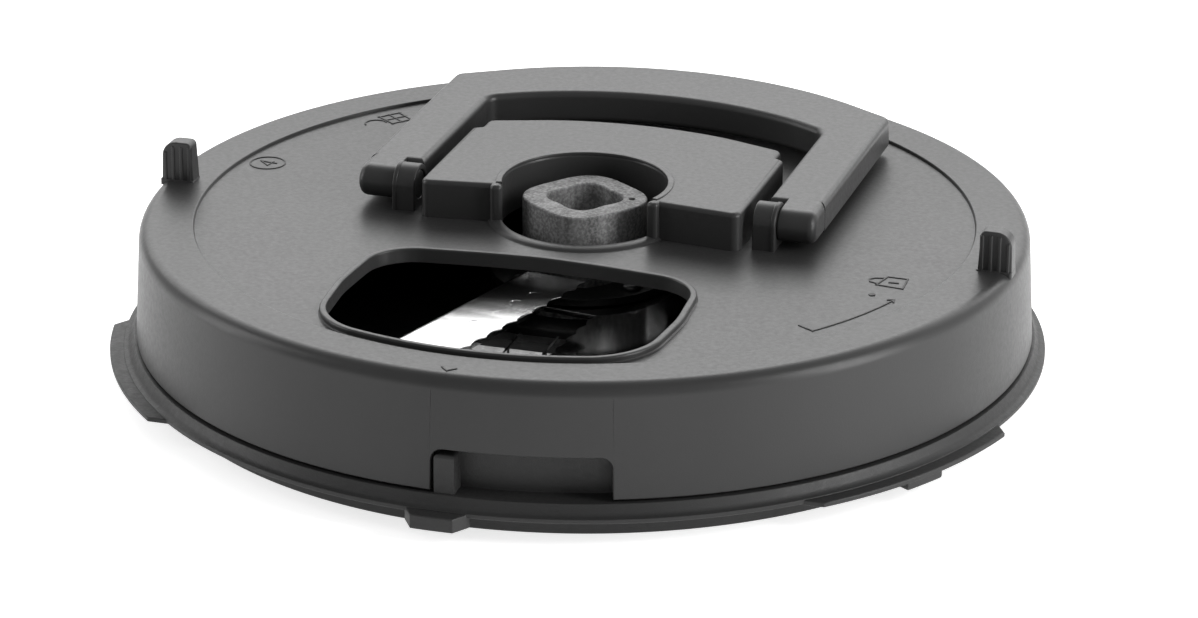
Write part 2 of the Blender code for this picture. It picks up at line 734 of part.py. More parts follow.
def make_blade(materials):
    """The blade steps up from a foot on the disc to a nearly level strip with a serrated edge."""
    foot = DISC_Z[1] + GAP
    steps = SCALLOPS * 4
    bm = bmesh.new()
    sections = []
    for i in range(steps + 1):
        along = 1.0 + (EDGE_LENGTH - 2.0) * i / steps
        tip = -scallop(along)
        section = [
            (-BLADE_RISE - BLADE_FOOT, foot),
            (-BLADE_RISE, foot),
            (-BLADE_WIDTH, BLADE_REAR_Z - BLADE_THICKNESS),
            (tip - 1.5, EDGE_Z - BLADE_THICKNESS),
            (tip, EDGE_Z - 0.2),
            (tip, EDGE_Z),
            (-BLADE_WIDTH - 0.5, BLADE_REAR_Z),
            (-BLADE_RISE - 0.7, foot + BLADE_THICKNESS),
            (-BLADE_RISE - BLADE_FOOT, foot + BLADE_THICKNESS),
        ]
        ring = []
        for across, z in section:
            x, y = on_edge(along, across)
            ring.append(bm.verts.new((x * MM, y * MM, z * MM)))
        sections.append(ring)
    for a, b in zip(sections, sections[1:]):
        for i in range(len(a)):
            k = (i + 1) % len(a)
            bm.faces.new((a[i], a[k], b[k], b[i]))
    bm.faces.new(sections[0])
    bm.faces.new(sections[-1])
    blade = place("slicing_blade", bm, materials["steel"])
    holes = bmesh.new()
    for centre in blade_rivet_centres():
        add_prism(holes, [circle(FIXING_HOLE_R, SMALL_FACETS, centre)], foot - 2, foot + 3)
    combine(blade, "DIFFERENCE", "rivet_hole_cutter", holes)


def make_rivets(materials):
    top = DISC_Z[1] + GAP + BLADE_THICKNESS + 0.2
    shank = [(FIXING_R, DISC_Z[0] - 0.1), (FIXING_R, top)]
    outline = shank + [(2.1, top), (1.9, top + 0.6), (1.1, top + 0.9)]
    for i, (x, y) in enumerate(blade_rivet_centres()):
        place(f"blade_rivet_{i + 1}", turned(outline, SMALL_FACETS, True), materials["steel"], (x, y, 0))


def hub_lobes(shrink=0.0):
    return lambda angle: HUB_R - shrink + LOBE * math.cos(4 * (angle - LOBE_ANGLE))


def bore_lobes(shrink=0.0):
    return lambda angle: BORE_R - shrink + LOBE * math.cos(4 * (angle - LOBE_ANGLE))


def make_hub(materials):
    bottom = DISC_Z[1] + GAP
    shoulder = bottom + HUB_FLANGE_THICKNESS
    outline = [
        (HUB_FLANGE_R, bottom),
        (HUB_FLANGE_R, shoulder),
        (hub_lobes(), shoulder),
        (hub_lobes(), HUB_TOP_Z - 0.4),
        (hub_lobes(0.4), HUB_TOP_Z),
        (bore_lobes(), HUB_TOP_Z),
        (bore_lobes(), bottom),
    ]
    hub = place("drive_hub", turned(outline, LOBED_FACETS), materials["hub"])
    holes = bmesh.new()
    for centre in hub_screw_centres():
        add_prism(holes, [circle(FIXING_HOLE_R, SMALL_FACETS, centre)], bottom - 2, shoulder + 2)
    combine(hub, "DIFFERENCE", "hub_screw_cutter", holes)
    backing = [circle(HUB_FLANGE_R, LOBED_FACETS), circle(BACKING_BORE_R, MEDIUM_FACETS)]
    backing += [circle(FIXING_HOLE_R, SMALL_FACETS, centre) for centre in hub_screw_centres()]
    place("hub_backing_ring", prism(backing, BACKING_BOTTOM_Z, DISC_Z[0] - GAP), materials["hub"])
    head = shoulder + 0.2
    shank = [(FIXING_R, BACKING_BOTTOM_Z + 0.2), (FIXING_R, head)]
    screw = shank + [(2.2, head), (2.2, head + 0.8), (1.5, head + 1.2)]
    for i, (x, y) in enumerate(hub_screw_centres()):
        place(f"hub_screw_{i + 1}", turned(screw, SMALL_FACETS, True), materials["screw"], (x, y, 0))


# ---------------------------------------------------------------- planetary reduction


def involute(base_r, radius):
    angle = math.acos(min(1.0, base_r / radius))
    return math.tan(angle) - angle


def tooth_half_angle(teeth, radius, play):
    """Half the angle that an external tooth fills at a radius, thinned by the play in millimetres."""
    pitch_r = MODULE * teeth / 2
    base_r = pitch_r * math.cos(PRESSURE_ANGLE)
    at_pitch = math.pi / (2 * teeth) - play / (2 * pitch_r)
    return at_pitch + involute(base_r, pitch_r) - involute(base_r, max(radius, base_r))


def gear_outline(teeth, first_tooth, play):
    """Outline of an external gear, or of a ring gear's hollow where the play is negative."""
    pitch_r = MODULE * teeth / 2
    base_r = pitch_r * math.cos(PRESSURE_ANGLE)
    if play > 0:
        radii = [pitch_r - 1.22 * MODULE, max(base_r, pitch_r - 0.8 * MODULE), pitch_r, pitch_r + MODULE]
    else:
        radii = [pitch_r - MODULE, pitch_r, pitch_r + 1.22 * MODULE]
    outline = []
    for tooth in range(teeth):
        middle = first_tooth + math.tau * tooth / teeth
        flank = [(radius, tooth_half_angle(teeth, radius, play)) for radius in radii]
        for radius, half in flank:
            outline.append((radius * math.cos(middle - half), radius * math.sin(middle - half)))
        for radius, half in reversed(flank):
            outline.append((radius * math.cos(middle + half), radius * math.sin(middle + half)))
    return outline


def planet_angles():
    return [360 * i / PLANETS for i in range(PLANETS)]


def make_gears(materials):
    hollow = gear_outline(RING_TEETH, math.pi / RING_TEETH, -BACKLASH / 2)
    ring = [circle(DRUM_INNER_R - GAP, LOBED_FACETS), hollow]
    place("ring_gear", prism(ring, GEAR_Z[0] - 0.6, GEAR_Z[1] + 0.2), materials["gear"])
    bore = circle(PIN_HOLE_R, SMALL_FACETS)
    for i, angle in enumerate(planet_angles()):
        teeth = gear_outline(PLANET_TEETH, math.radians(angle) + math.pi / PLANET_TEETH, BACKLASH / 2)
        x, y = on_circle(PLANET_CENTRE_R, angle)
        place(f"planet_gear_{i + 1}", prism([teeth, bore], *GEAR_Z), materials["gear"], (x, y, 0))
        head = GEAR_Z[0] - GAP
        pin = [(PIN_HEAD_R, head - 0.6), (PIN_HEAD_R, head), (PIN_R, head), (PIN_R, CARRIER_Z[1] - 0.2)]
        place(f"planet_pin_{i + 1}", turned(pin, SMALL_FACETS, True), materials["screw"], (x, y, 0))
    make_sun(materials)


def make_sun(materials):
    """The sun gear turns on a lower and an upper pilot, and takes the drive in a blind hexagonal socket."""
    pilots = [(6.6, COVER_Z[0] - 0.6), (6.6, 5.0), (3.0, 5.4), (3.0, 12.2)]
    sun = place("sun_gear", turned(pilots, MEDIUM_FACETS, True), materials["gear"])
    teeth = prism([gear_outline(SUN_TEETH, 0.0, BACKLASH / 2)], COVER_Z[1] + 0.5, GEAR_Z[1] - 0.1)
    combine(sun, "UNION", "sun_tooth_addition", teeth)
    hexagon = circle(8.0 / math.sqrt(3), 6)
    combine(sun, "DIFFERENCE", "drive_socket_cutter", prism([hexagon], COVER_Z[0] - 3, 8.4))


def make_carrier(materials):
    """The carrier holds the planets' pins, and its stem is keyed into the hub's bore."""
    stem = bore_lobes(0.5)
    tip = bore_lobes(1.1)
    outline = [
        (3.3, CARRIER_Z[0]),
        (19.0, CARRIER_Z[0]),
        (19.0, CARRIER_Z[1]),
        (7.5, CARRIER_Z[1]),
        (7.5, JOURNAL_TOP_Z),
        (stem, JOURNAL_TOP_Z),
        (stem, STEM_TOP_Z - 0.6),
        (tip, STEM_TOP_Z),
        (3.3, STEM_TOP_Z),
    ]
    carrier = place("planet_carrier", turned(outline, LOBED_FACETS), materials["gear"])
    holes = bmesh.new()
    for angle in planet_angles():
        centre = on_circle(PLANET_CENTRE_R, angle)
        add_prism(holes, [circle(PIN_HOLE_R, SMALL_FACETS, centre)], CARRIER_Z[0] - 2, CARRIER_Z[1] + 2)
    combine(carrier, "DIFFERENCE", "pin_hole_cutter", holes)


def make_drum_parts(materials):
    bushing = [(7.8, 11.5), (11.0, 11.5), (11.0, 12.3), (9.3, 12.3), (9.3, 14.0), (7.8, 14.0)]
    place("drum_bushing", turned(bushing, MEDIUM_FACETS), materials["gear"])
    cover = place("gear_cover", prism([circle(DRUM_R - 0.3, LOBED_FACETS)], *COVER_Z), materials["base"])
    ears = bmesh.new()
    holes = bmesh.new()
    add_prism(holes, [circle(COVER_BORE_R, MEDIUM_FACETS)], COVER_Z[0] - 2, COVER_Z[1] + 2)
    seat = COVER_Z[0] - GAP
    screw = [(2.6, seat - 1.2), (2.6, seat), (1.4, seat), (1.4, DECK_Z[0] - 0.6)]
    for i, angle in enumerate(COVER_EAR_ANGLES):
        centre = on_circle(COVER_EAR_R, angle)
        add_prism(ears, [circle(COVER_BOSS_R - 0.2, SMALL_FACETS, centre)], COVER_Z[0] + 0.1, COVER_Z[1] - 0.1)
        screw_hole = [circle(COVER_SCREW_HOLE_R, SMALL_FACETS, centre)]
        add_prism(holes, screw_hole, COVER_Z[0] - 2, COVER_Z[1] + 2)
        place(f"cover_screw_{i + 1}", turned(screw, SMALL_FACETS, True), materials["screw"], (*centre, 0))
    combine(cover, "UNION", "cover_ear_additions", ears)
    combine(cover, "DIFFERENCE", "cover_hole_cutter", holes)


def clear_scene():
    for obj in list(bpy.data.objects):
        bpy.data.objects.remove(obj, do_unlink=True)


def main():
    clear_scene()
    materials = make_materials()
    make_lid(materials)
    make_handle(materials)
    make_base(materials)
    make_grid_frame(materials)
    make_strips(materials)
    make_disc(materials)
    make_blade(materials)
    make_rivets(materials)
    make_hub(materials)
    make_gears(materials)
    make_carrier(materials)
    make_drum_parts(materials)


main()
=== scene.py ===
"""Looks of the dicing attachment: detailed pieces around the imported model, their materials and the studio.

Shapes are drawn in millimetres, with heights over the lugs' underside. They are scaled to metres and lifted
by the centring wall's depth as they are made. +Z is up and -Y is the front.
"""

import math

import bmesh
import bpy
from mathutils import Matrix


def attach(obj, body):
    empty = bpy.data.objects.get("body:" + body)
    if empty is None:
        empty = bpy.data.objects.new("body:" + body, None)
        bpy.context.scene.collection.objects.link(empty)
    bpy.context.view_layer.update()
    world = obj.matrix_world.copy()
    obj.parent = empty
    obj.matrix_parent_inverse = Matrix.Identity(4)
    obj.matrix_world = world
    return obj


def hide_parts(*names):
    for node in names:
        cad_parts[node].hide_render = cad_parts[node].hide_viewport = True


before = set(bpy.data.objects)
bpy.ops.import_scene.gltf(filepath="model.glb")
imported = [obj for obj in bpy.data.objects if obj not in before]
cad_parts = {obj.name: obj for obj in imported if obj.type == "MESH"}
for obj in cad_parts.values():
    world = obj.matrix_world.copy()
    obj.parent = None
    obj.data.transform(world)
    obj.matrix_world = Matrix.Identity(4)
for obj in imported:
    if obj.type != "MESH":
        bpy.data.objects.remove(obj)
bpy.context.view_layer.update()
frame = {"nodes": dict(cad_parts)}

MM = 0.001
CENTRING_WALL_DEPTH = 3.0  # how far the base reaches below the lugs
LARGE_FACETS = 240
MEDIUM_FACETS = 96
SMALL_FACETS = 40

# Lid.
LID_BOTTOM_R = 100.0
LID_TOP_R = 98.8
SKIRT_BOTTOM_Z = 6.4
SKIRT_THICKNESS = 2.3
RIM_TOP_Z = 31.3
RIM_FILLET = 3.1
RIM_INNER_R = 86.5
PLATE_TOP_Z = 30.6
PLATE_BOTTOM_Z = 28.8
HUB_HOLE_R = 18.5
NOTCH_ANGLES = (268.7, 290.6)
NOTCH_TOP_Z = 15.5
NOTCH_CORNER = 2.5
FOOD_FRONT_R = 84.1
FOOD_HALF_WIDTH = 37.1
FOOD_REAR_Y = -29.7
LIP_TOP_Z = 32.0
LIP_WIDTH = 1.5
BLOCK_X = 1.5
BLOCK_HALF_WIDTH = 36.8
BLOCK_TOP_Z = 39.3
TAB_X = (90.6, 98.3)
TAB_Y = (-6.6, -2.6)
TAB_TOP_Z = 40.4
TAB_RIBS = 4
LID_BAYONET_R = (95.6, 98.8)
LID_BAYONET_Z = (8.4, 10.4)
MARK_SINK = 0.1
MARK_RISE = 0.16

# Handle and its hinge.
HINGE_Y = -3.0
HINGE_Z = 35.6
ARM_OUTER_X = 52.8
ARM_INNER_X = 40.0
ARM_STEP_X = 44.3
ARM_START_Y = 2.6
ARM_END_Y = 62.6
HANDLE_Z = (31.85, 39.35)
CROSSBAR_OUTER_R = 81.1
CROSSBAR_INNER_Y = 60.5
CROSSBAR_INNER_R = 74.0
BARREL_R = 3.7
JOURNAL_R = 3.1
KNUCKLE_X = (39.0, 44.0)
KNUCKLE_R = 4.6

# Base ring.
WALL_R = 95.0
WALL_INNER_R = 92.6
WALL_TOP_Z = 18.4
FLANGE_R = 103.0
FLANGE_BOTTOM_Z = 2.4
CENTRING_WALL_R = 96.0
FLANGE_EDGE_Z = 3.4
LEDGE_Z = 5.9
LEDGE_R = 100.4
DECK_Z = (9.0, 12.0)
DRUM_R = 27.3
DRUM_INNER_R = 24.8
DRUM_Z = (3.9, 14.2)
DRUM_ROOF_Z = 12.6
DRUM_MOUTH_R = 9.6
EAR_R = 106.0
EAR_ANGLES = (-30.0, 90.0, 210.0)
EAR_HALF_ANGLE = 15.0
LUG_HALF_ANGLE = 2.8
LUG_TOP_Z = 2.7
FRONT_TAB_ANGLES = (-93.9, -92.5, -87.5, -86.1)
FRONT_TAB_TOP_Z = 3.2
STOP_POST_ANGLES = (-90.8, -88.3)
STOP_POST_R = (94.0, 99.9)
STOP_POST_BOTTOM_Z = 4.2
COVER_EAR_ANGLES = (90.0, 210.0, 330.0)
COVER_EAR_R = 29.4
COVER_BOSS_R = 3.4
COVER_SCREW_HOLE_R = 1.7
BASE_BAYONET_Z = (10.7, 12.7)
BAYONET_ANGLES = (35.0, 145.0, 215.0, 325.0)
BAYONET_HALF_ANGLE = 8.0

# Grid.
GRID_HALF_WIDTH = 38.0
GRID_REAR_Y = -34.0
GRID_FRONT_R = 86.5
GRID_BAR = 2.0
GRID_RIM = 4.0
GRID_WALL_Z = (5.4, 13.0)
GRID_RIM_Z = (12.3, 13.8)

# Disc and blade.
DISC_R = 89.5
DISC_Z = (16.2, 17.4)
EDGE_START = (8.6, -23.2)
EDGE_DIRECTION = (-0.29, -0.957)
EDGE_LENGTH = 62.0
EDGE_Z = 25.2
BLADE_REAR_Z = 24.4
BLADE_WIDTH = 16.0
BLADE_THICKNESS = 0.8
SLOT_WIDTHS = (1.4, 14.0)  # ahead of the edge, near the hub and near the rim
SLOT_UNDER_BLADE = 11.5
DISC_BORE_R = 11.0
SCALLOPS = 11
SCALLOP_DEPTH = 0.9
BLADE_RISE = 18.5
BLADE_FOOT = 5.5

# Hub.
HUB_TOP_Z = 35.8
HUB_R = 13.1
BORE_R = 7.7
LOBE = 0.85
LOBE_ANGLE = 9.0
HUB_SCREW_R = 17.3
HUB_FLANGE_R = 21.0
HUB_FLANGE_THICKNESS = 1.7
DIMPLE_R = 0.75
DIMPLE_CENTRE = (10.45, 1.59)
DIMPLE_DEPTH = 1.5

# Studio, in metres and watts.
LENS_MM = 141.23539
SENSOR_MM = 36.0
CAMERA_PLACE = (0.2892, -0.9348, 0.40015)
CAMERA_ROLL = 0.0042
LIGHT_TARGET = (0.0, 0.0, 0.03)
FLOOR_HALF_WIDTH = 4.0


# ---------------------------------------------------------------- outlines


def on_circle(radius, degrees):
    angle = math.radians(degrees)
    return radius * math.cos(angle), radius * math.sin(angle)


def arc(radius, start, end, steps, centre=(0.0, 0.0)):
    points = []
    for i in range(steps + 1):
        x, y = on_circle(radius, start + (end - start) * i / steps)
        points.append((centre[0] + x, centre[1] + y))
    return points


def circle(radius, facets, centre=(0.0, 0.0)):
    return arc(radius, 0, 360, facets, centre)[:-1]


def rounded(corners, steps=8):
    """A closed outline from (x, y, radius) corners."""
    points = []
    for i, (x, y, radius) in enumerate(corners):
        if radius == 0:
            points.append((x, y))
            continue
        before = corners[i - 1]
        after = corners[(i + 1) % len(corners)]
        a = math.atan2(before[1] - y, before[0] - x)
        b = math.atan2(after[1] - y, after[0] - x)
        half = ((b - a + math.pi) % math.tau - math.pi) / 2
        reach = radius / math.sin(abs(half))
        cx = x + reach * math.cos(a + half)
        cy = y + reach * math.sin(a + half)
        turn = (math.pi / 2 - abs(half)) * math.copysign(1, half)
        middle = a + half + math.pi
        for k in range(steps + 1):
            angle = middle + turn - 2 * turn * k / steps
            points.append((cx + radius * math.cos(angle), cy + radius * math.sin(angle)))
    return points


def mirrored(right):
    """The right half of an outline, from the rear's middle to the front's middle, and its mirror image."""
    return right + [(-x, y, radius) for x, y, radius in reversed(right[1:-1])]


def offset(outline, distance):
    """A closed counterclockwise outline, moved outwards with mitred corners."""
    moved = []
    for i, (x, y) in enumerate(outline):
        ax, ay = outline[i - 1]
        bx, by = outline[(i + 1) % len(outline)]
        before = math.hypot(x - ax, y - ay)
        after = math.hypot(bx - x, by - y)
        nx = (y - ay) / before + (by - y) / after
        ny = -(x - ax) / before - (bx - x) / after
        reach = 2 * distance / (nx * nx + ny * ny)
        moved.append((x + reach * nx, y + reach * ny))
    return moved


def food_outline():
    front = [(*on_circle(FOOD_FRONT_R, angle), 0.0) for angle in range(-72, -91, -2)]
    right = [
        (0.0, FOOD_REAR_Y, 60.0),
        (13.0, FOOD_REAR_Y - 0.9, 120.0),
        (FOOD_HALF_WIDTH - 1.4, FOOD_REAR_Y - 3.6, 11.0),
        (FOOD_HALF_WIDTH, FOOD_REAR_Y - 25.0, 40.0),
        (*on_circle(FOOD_FRONT_R, -65.2), 16.0),
        *front,
    ]
    return rounded(mirrored(right), 12)[::-1]


def block_outline():
    """The raised block: straight in front, stepped at the sides and hollowed by the hub's hole."""
    hollow_r = HUB_HOLE_R - 0.05
    start = -24.5
    right = [
        (BLOCK_HALF_WIDTH, -10.0, 2.0),
        (BLOCK_HALF_WIDTH, 27.0, 0.8),
        (BLOCK_HALF_WIDTH - 2.0, 28.2, 0.8),
        (BLOCK_HALF_WIDTH - 2.0, 33.0, 2.0),
        (18.0, 38.7, 60.0),
    ]
    left = [(-x, y, radius) for x, y, radius in reversed(right)]
    outer = [(BLOCK_X + x, y) for x, y in rounded(right + [(0.0, 41.0, 80.0)] + left)]
    return outer + arc(hollow_r, 180 - start, start, 72)


def grid_outline(growth):
    half = GRID_HALF_WIDTH + growth
    radius = GRID_FRONT_R + growth
    low = math.degrees(math.acos(half / radius))
    rear = GRID_REAR_Y + growth
    return arc(radius, low - 180, -low, 40) + [(half, rear), (-half, rear)]


def on_edge(along, across):
    """A point at a distance along the blade's edge and a distance ahead of it."""
    dx, dy = EDGE_DIRECTION
    return EDGE_START[0] + along * dx - across * dy, EDGE_START[1] + along * dy + across * dx


def scallop(along):
    return SCALLOP_DEPTH * abs(math.sin(math.pi * SCALLOPS * along / EDGE_LENGTH))


def lobed(radius, facets=160):
    points = []
    for i in range(facets):
        angle = 360 * i / facets
        points.append(on_circle(radius + LOBE * math.cos(math.radians(4 * (angle - LOBE_ANGLE))), angle))
    return points


# ---------------------------------------------------------------- surfaces


def ring(bm, points):
    return [bm.verts.new((x * MM, y * MM, z * MM)) for x, y, z in points]


def bridge(bm, a, b):
    for i in range(len(a)):
        k = (i + 1) % len(a)
        bm.faces.new((a[i], a[k], b[k], b[i]))


def cap(bm, rings):
    """Fills the flat face between an outer ring and any rings inside it."""
    edges = []
    for loop in rings:
        for i, vert in enumerate(loop):
            pair = (vert, loop[(i + 1) % len(loop)])
            edges.append(bm.edges.get(pair) or bm.edges.new(pair))
    bmesh.ops.triangle_fill(bm, use_beauty=True, edges=edges)


def walls(bm, outline, profile):
    """Walls that follow the outline, one ring for each (outward, z) of the profile."""
    rings = []
    for outward, z in profile:
        rings.append(ring(bm, [(x, y, z) for x, y in offset(outline, outward)]))
    for a, b in zip(rings, rings[1:]):
        bridge(bm, a, b)
    return rings[0], rings[-1]


def edge_profile(bottom, top, low, high, side):
    """A wall's (outward, z) profile with rounded edges. The side is -1 round a solid and 1 round a hole."""
    steps = 4
    profile = []
    for radius, centre, start in ((low, bottom + low, 0), (high, top - high, 90)):
        if radius == 0:
            profile.append((0.0, centre))
            continue
        for k in range(steps + 1):
            angle = math.radians(start + 90 * k / steps)
            profile.append((side * radius * (1 - math.sin(angle)), centre - radius * math.cos(angle)))
    return profile


def slab(bm, outline, holes, bottom, top, low=0.3, high=0.3):
    ends = [walls(bm, outline, edge_profile(bottom, top, low, high, -1))]
    ends += [walls(bm, hole, edge_profile(bottom, top, low, high, 1)) for hole in holes]
    cap(bm, [first for first, _ in ends])
    cap(bm, [last for _, last in ends])


def lathe(bm, profile, facets, centre=(0.0, 0.0)):
    """A closed (radius, z) profile turned about an upright axis."""
    rings = []
    for radius, z in profile:
        rings.append(ring(bm, [(x, y, z) for x, y in circle(radius, facets, centre)]))
    for a, b in zip(rings, rings[1:] + rings[:1]):
        bridge(bm, a, b)


def button(bm, profile, facets, centre):
    """An open (radius, z) profile turned about an upright axis, with flat ends."""
    rings = []
    for radius, z in profile:
        rings.append(ring(bm, [(x, y, z) for x, y in circle(radius, facets, centre)]))
    for a, b in zip(rings, rings[1:]):
        bridge(bm, a, b)
    cap(bm, rings[:1])
    cap(bm, rings[-1:])


def merge(target, source, matrix):
    """Moves one bmesh into another, turned by the matrix."""
    bmesh.ops.transform(source, matrix=matrix.to_4x4(), verts=source.verts)
    mesh = bpy.data.meshes.new("scratch")
    source.to_mesh(mesh)
    source.free()
    target.from_mesh(mesh)
    bpy.data.meshes.remove(mesh)


ALONG_X = Matrix(((0, 0, 1), (1, 0, 0), (0, 1, 0)))
ALONG_Y = Matrix(((1, 0, 0), (0, 0, 1), (0, 1, 0)))


def slab_along(bm, matrix, outline, holes, start, end, low=0.3, high=0.3):
    """A slab drawn as (y, z) that runs along X, or as (x, z) that runs along Y."""
    part = bmesh.new()
    slab(part, outline, holes, start, end, low, high)
    merge(bm, part, matrix)


def stroke(bm, points, width, bottom, top, closed=False):
    """A narrow raised line on the plan's polyline."""
    half = width / 2
    if closed:
        slab(bm, offset(points, half), [offset(points, -half)], bottom, top, 0, 0.06)
        return
    left, right = [], []
    for i, (x, y) in enumerate(points):
        ax, ay = points[max(i - 1, 0)]
        bx, by = points[min(i + 1, len(points) - 1)]
        length = math.hypot(bx - ax, by - ay)
        nx, ny = (by - ay) / length * half, -(bx - ax) / length * half
        right.append((x + nx, y + ny))
        left.append((x - nx, y - ny))
    slab(bm, right + left[::-1], [], bottom, top, 0, 0.06)


def make(name, bm, material, body, nodes=()):
    """Turns the bmesh into a piece that rides on the body and stands for the nodes."""
    bmesh.ops.translate(bm, vec=(0.0, 0.0, CENTRING_WALL_DEPTH * MM), verts=bm.verts)
    bmesh.ops.recalc_face_normals(bm, faces=bm.faces)
    mesh = bpy.data.meshes.new(name)
    bm.to_mesh(mesh)
    bm.free()
    mesh.shade_smooth()
    mesh.set_sharp_from_angle(angle=math.radians(38))
    mesh.materials.append(material)
    obj = bpy.data.objects.new(name, mesh)
    bpy.context.scene.collection.objects.link(obj)
    shading = obj.modifiers.new("flat_faces_stay_flat", "WEIGHTED_NORMAL")
    shading.keep_sharp = True
    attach(obj, body)
    if nodes:
        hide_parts(*nodes)
    return obj


# ---------------------------------------------------------------- materials


def add_node(tree, kind, inputs=(), **settings):
    made = tree.nodes.new(kind)
    for key, value in settings.items():
        setattr(made, key, value)
    for key, value in dict(inputs).items():
        if isinstance(value, bpy.types.NodeSocket):
            tree.links.new(value, made.inputs[key])
        else:
            made.inputs[key].default_value = value
    return made


def noise(tree, scale, detail=2.0, stretch=(1.0, 1.0, 1.0)):
    """Noise in the model's own coordinates, with the scale in cycles per metre."""
    place = add_node(tree, "ShaderNodeTexCoord")
    scaled = add_node(tree, "ShaderNodeMapping", {"Vector": place.outputs["Object"], "Scale": stretch})
    return add_node(
        tree, "ShaderNodeTexNoise", {"Vector": scaled.outputs["Vector"], "Scale": scale, "Detail": detail}
    ).outputs["Fac"]


def ranged(tree, value, low, high, start=0.3, end=0.7):
    return add_node(
        tree,
        "ShaderNodeMapRange",
        {"Value": value, "From Min": start, "From Max": end, "To Min": low, "To Max": high},
    ).outputs["Result"]


def grey_mix(tree, factor, dark, light):
    mixed = add_node(tree, "ShaderNodeMix", data_type="RGBA")
    tree.links.new(factor, mixed.inputs["Factor"])
    mixed.inputs["A"].default_value = (*dark, 1.0)
    mixed.inputs["B"].default_value = (*light, 1.0)
    return mixed.outputs["Result"]


def grey(value):
    return value, value, value


def new_material(name):
    made = bpy.data.materials.new(name)
    made.use_nodes = True
    return made, made.node_tree, made.node_tree.nodes["Principled BSDF"]


def moulded_plastic(name, dark, light, rough, grain, specular=0.5):
    """Satin moulded plastic: faint flow shading, uneven gloss and a fine eroded grain."""
    made, tree, shader = new_material(name)
    flow = ranged(tree, noise(tree, 22.0, 3.0), 0.0, 1.0)
    tree.links.new(grey_mix(tree, flow, grey(dark), grey(light)), shader.inputs["Base Color"])
    gloss = ranged(tree, noise(tree, 900.0, 3.0), rough[0], rough[1])
    tree.links.new(gloss, shader.inputs["Roughness"])
    fine = add_node(
        tree, "ShaderNodeBump", {"Height": noise(tree, 2600.0, 3.0), "Strength": grain, "Distance": 0.0002}
    )
    wide = add_node(
        tree,
        "ShaderNodeBump",
        {
            "Height": noise(tree, 60.0, 1.0),
            "Strength": 0.02,
            "Distance": 0.0008,
            "Normal": fine.outputs["Normal"],
        },
    )
    tree.links.new(wide.outputs["Normal"], shader.inputs["Normal"])
    shader.inputs["Specular IOR Level"].default_value = specular
    return made


def speckled_nylon(name):
    """Rough glass-filled nylon: pale specks on a dark ground, with streaks down its sides."""
    made, tree, shader = new_material(name)
    specks = ranged(tree, noise(tree, 1500.0, 4.0), 0.0, 1.0, 0.42, 0.62)
    streaks = ranged(tree, noise(tree, 260.0, 3.0, (1.0, 1.0, 0.12)), 0.0, 1.0, 0.35, 0.7)
    both = add_node(tree, "ShaderNodeMath", {0: specks, 1: streaks}, operation="ADD").outputs["Value"]
    halved = add_node(tree, "ShaderNodeMath", {0: both, 1: 0.5}, operation="MULTIPLY").outputs["Value"]
    tree.links.new(grey_mix(tree, halved, grey(0.07), grey(0.27)), shader.inputs["Base Color"])
    tree.links.new(ranged(tree, noise(tree, 700.0), 0.5, 0.75), shader.inputs["Roughness"])
    bump = add_node(
        tree, "ShaderNodeBump", {"Height": noise(tree, 1300.0, 5.0), "Strength": 0.35, "Distance": 0.0003}
    )
    tree.links.new(bump.outputs["Normal"], shader.inputs["Normal"])
    return made


def steel(name, dark, light, rough, stretch, scale):
    """Ground or polished steel: fine lines along one direction and cloudy gloss."""
    made, tree, shader = new_material(name)
    shader.inputs["Metallic"].default_value = 1.0
    clouds = ranged(tree, noise(tree, 45.0, 3.0), 0.0, 1.0)
    tree.links.new(grey_mix(tree, clouds, grey(dark), grey(light)), shader.inputs["Base Color"])
    lines = noise(tree, scale, 3.0, stretch)
    tree.links.new(ranged(tree, lines, rough[0], rough[1]), shader.inputs["Roughness"])
    bump = add_node(tree, "ShaderNodeBump", {"Height": lines, "Strength": 0.03, "Distance": 0.0001})
    tree.links.new(bump.outputs["Normal"], shader.inputs["Normal"])
    return made


def make_materials():
    return {
        "lid": moulded_plastic("lid_satin_plastic", 0.030, 0.036, (0.34, 0.42), 0.10, 0.30),
        "handle": moulded_plastic("handle_satin_plastic", 0.030, 0.036, (0.34, 0.42), 0.10, 0.32),
        # The marks are the lid's plastic darkened nearly to black: painted shade for the dark lines that
        # light leaves along the moulded relief.
        "mark": moulded_plastic("mark_plastic_painted_shade", 0.008, 0.011, (0.35, 0.5), 0.05, 0.2),
        "base": moulded_plastic("base_grained_plastic", 0.022, 0.030, (0.46, 0.58), 0.28, 0.35),
        "hub": speckled_nylon("hub_glass_filled_nylon"),
        # The hub flange is the hub's own nylon darkened nearly to black: painted shade for the dark under
        # the lid.
        "flange": moulded_plastic("hub_flange_nylon_painted_shade", 0.008, 0.012, (0.30, 0.42), 0.10, 0.22),
        "gear": moulded_plastic("gear_natural_nylon", 0.55, 0.62, (0.38, 0.5), 0.12),
        "disc": steel("disc_polished_steel", 0.56, 0.66, (0.08, 0.14), (1.0, 1.0, 1.0), 900.0),
        "blade": steel("blade_ground_steel", 0.50, 0.56, (0.20, 0.26), (2.0, 0.25, 1.0), 1800.0),
        "grid": steel("grid_ground_steel", 0.78, 0.88, (0.08, 0.16), (1.0, 1.0, 0.15), 1500.0),
        # The hub screws' steel is darkened too: painted shade for the dark under the lid.
        "screw": steel("screw_steel_painted_shade", 0.10, 0.16, (0.30, 0.45), (1.0, 1.0, 0.3), 1500.0),
        "zinc": steel("zinc_plated_steel", 0.42, 0.55, (0.25, 0.4), (1.0, 1.0, 1.0), 700.0),
    }


# ---------------------------------------------------------------- lid


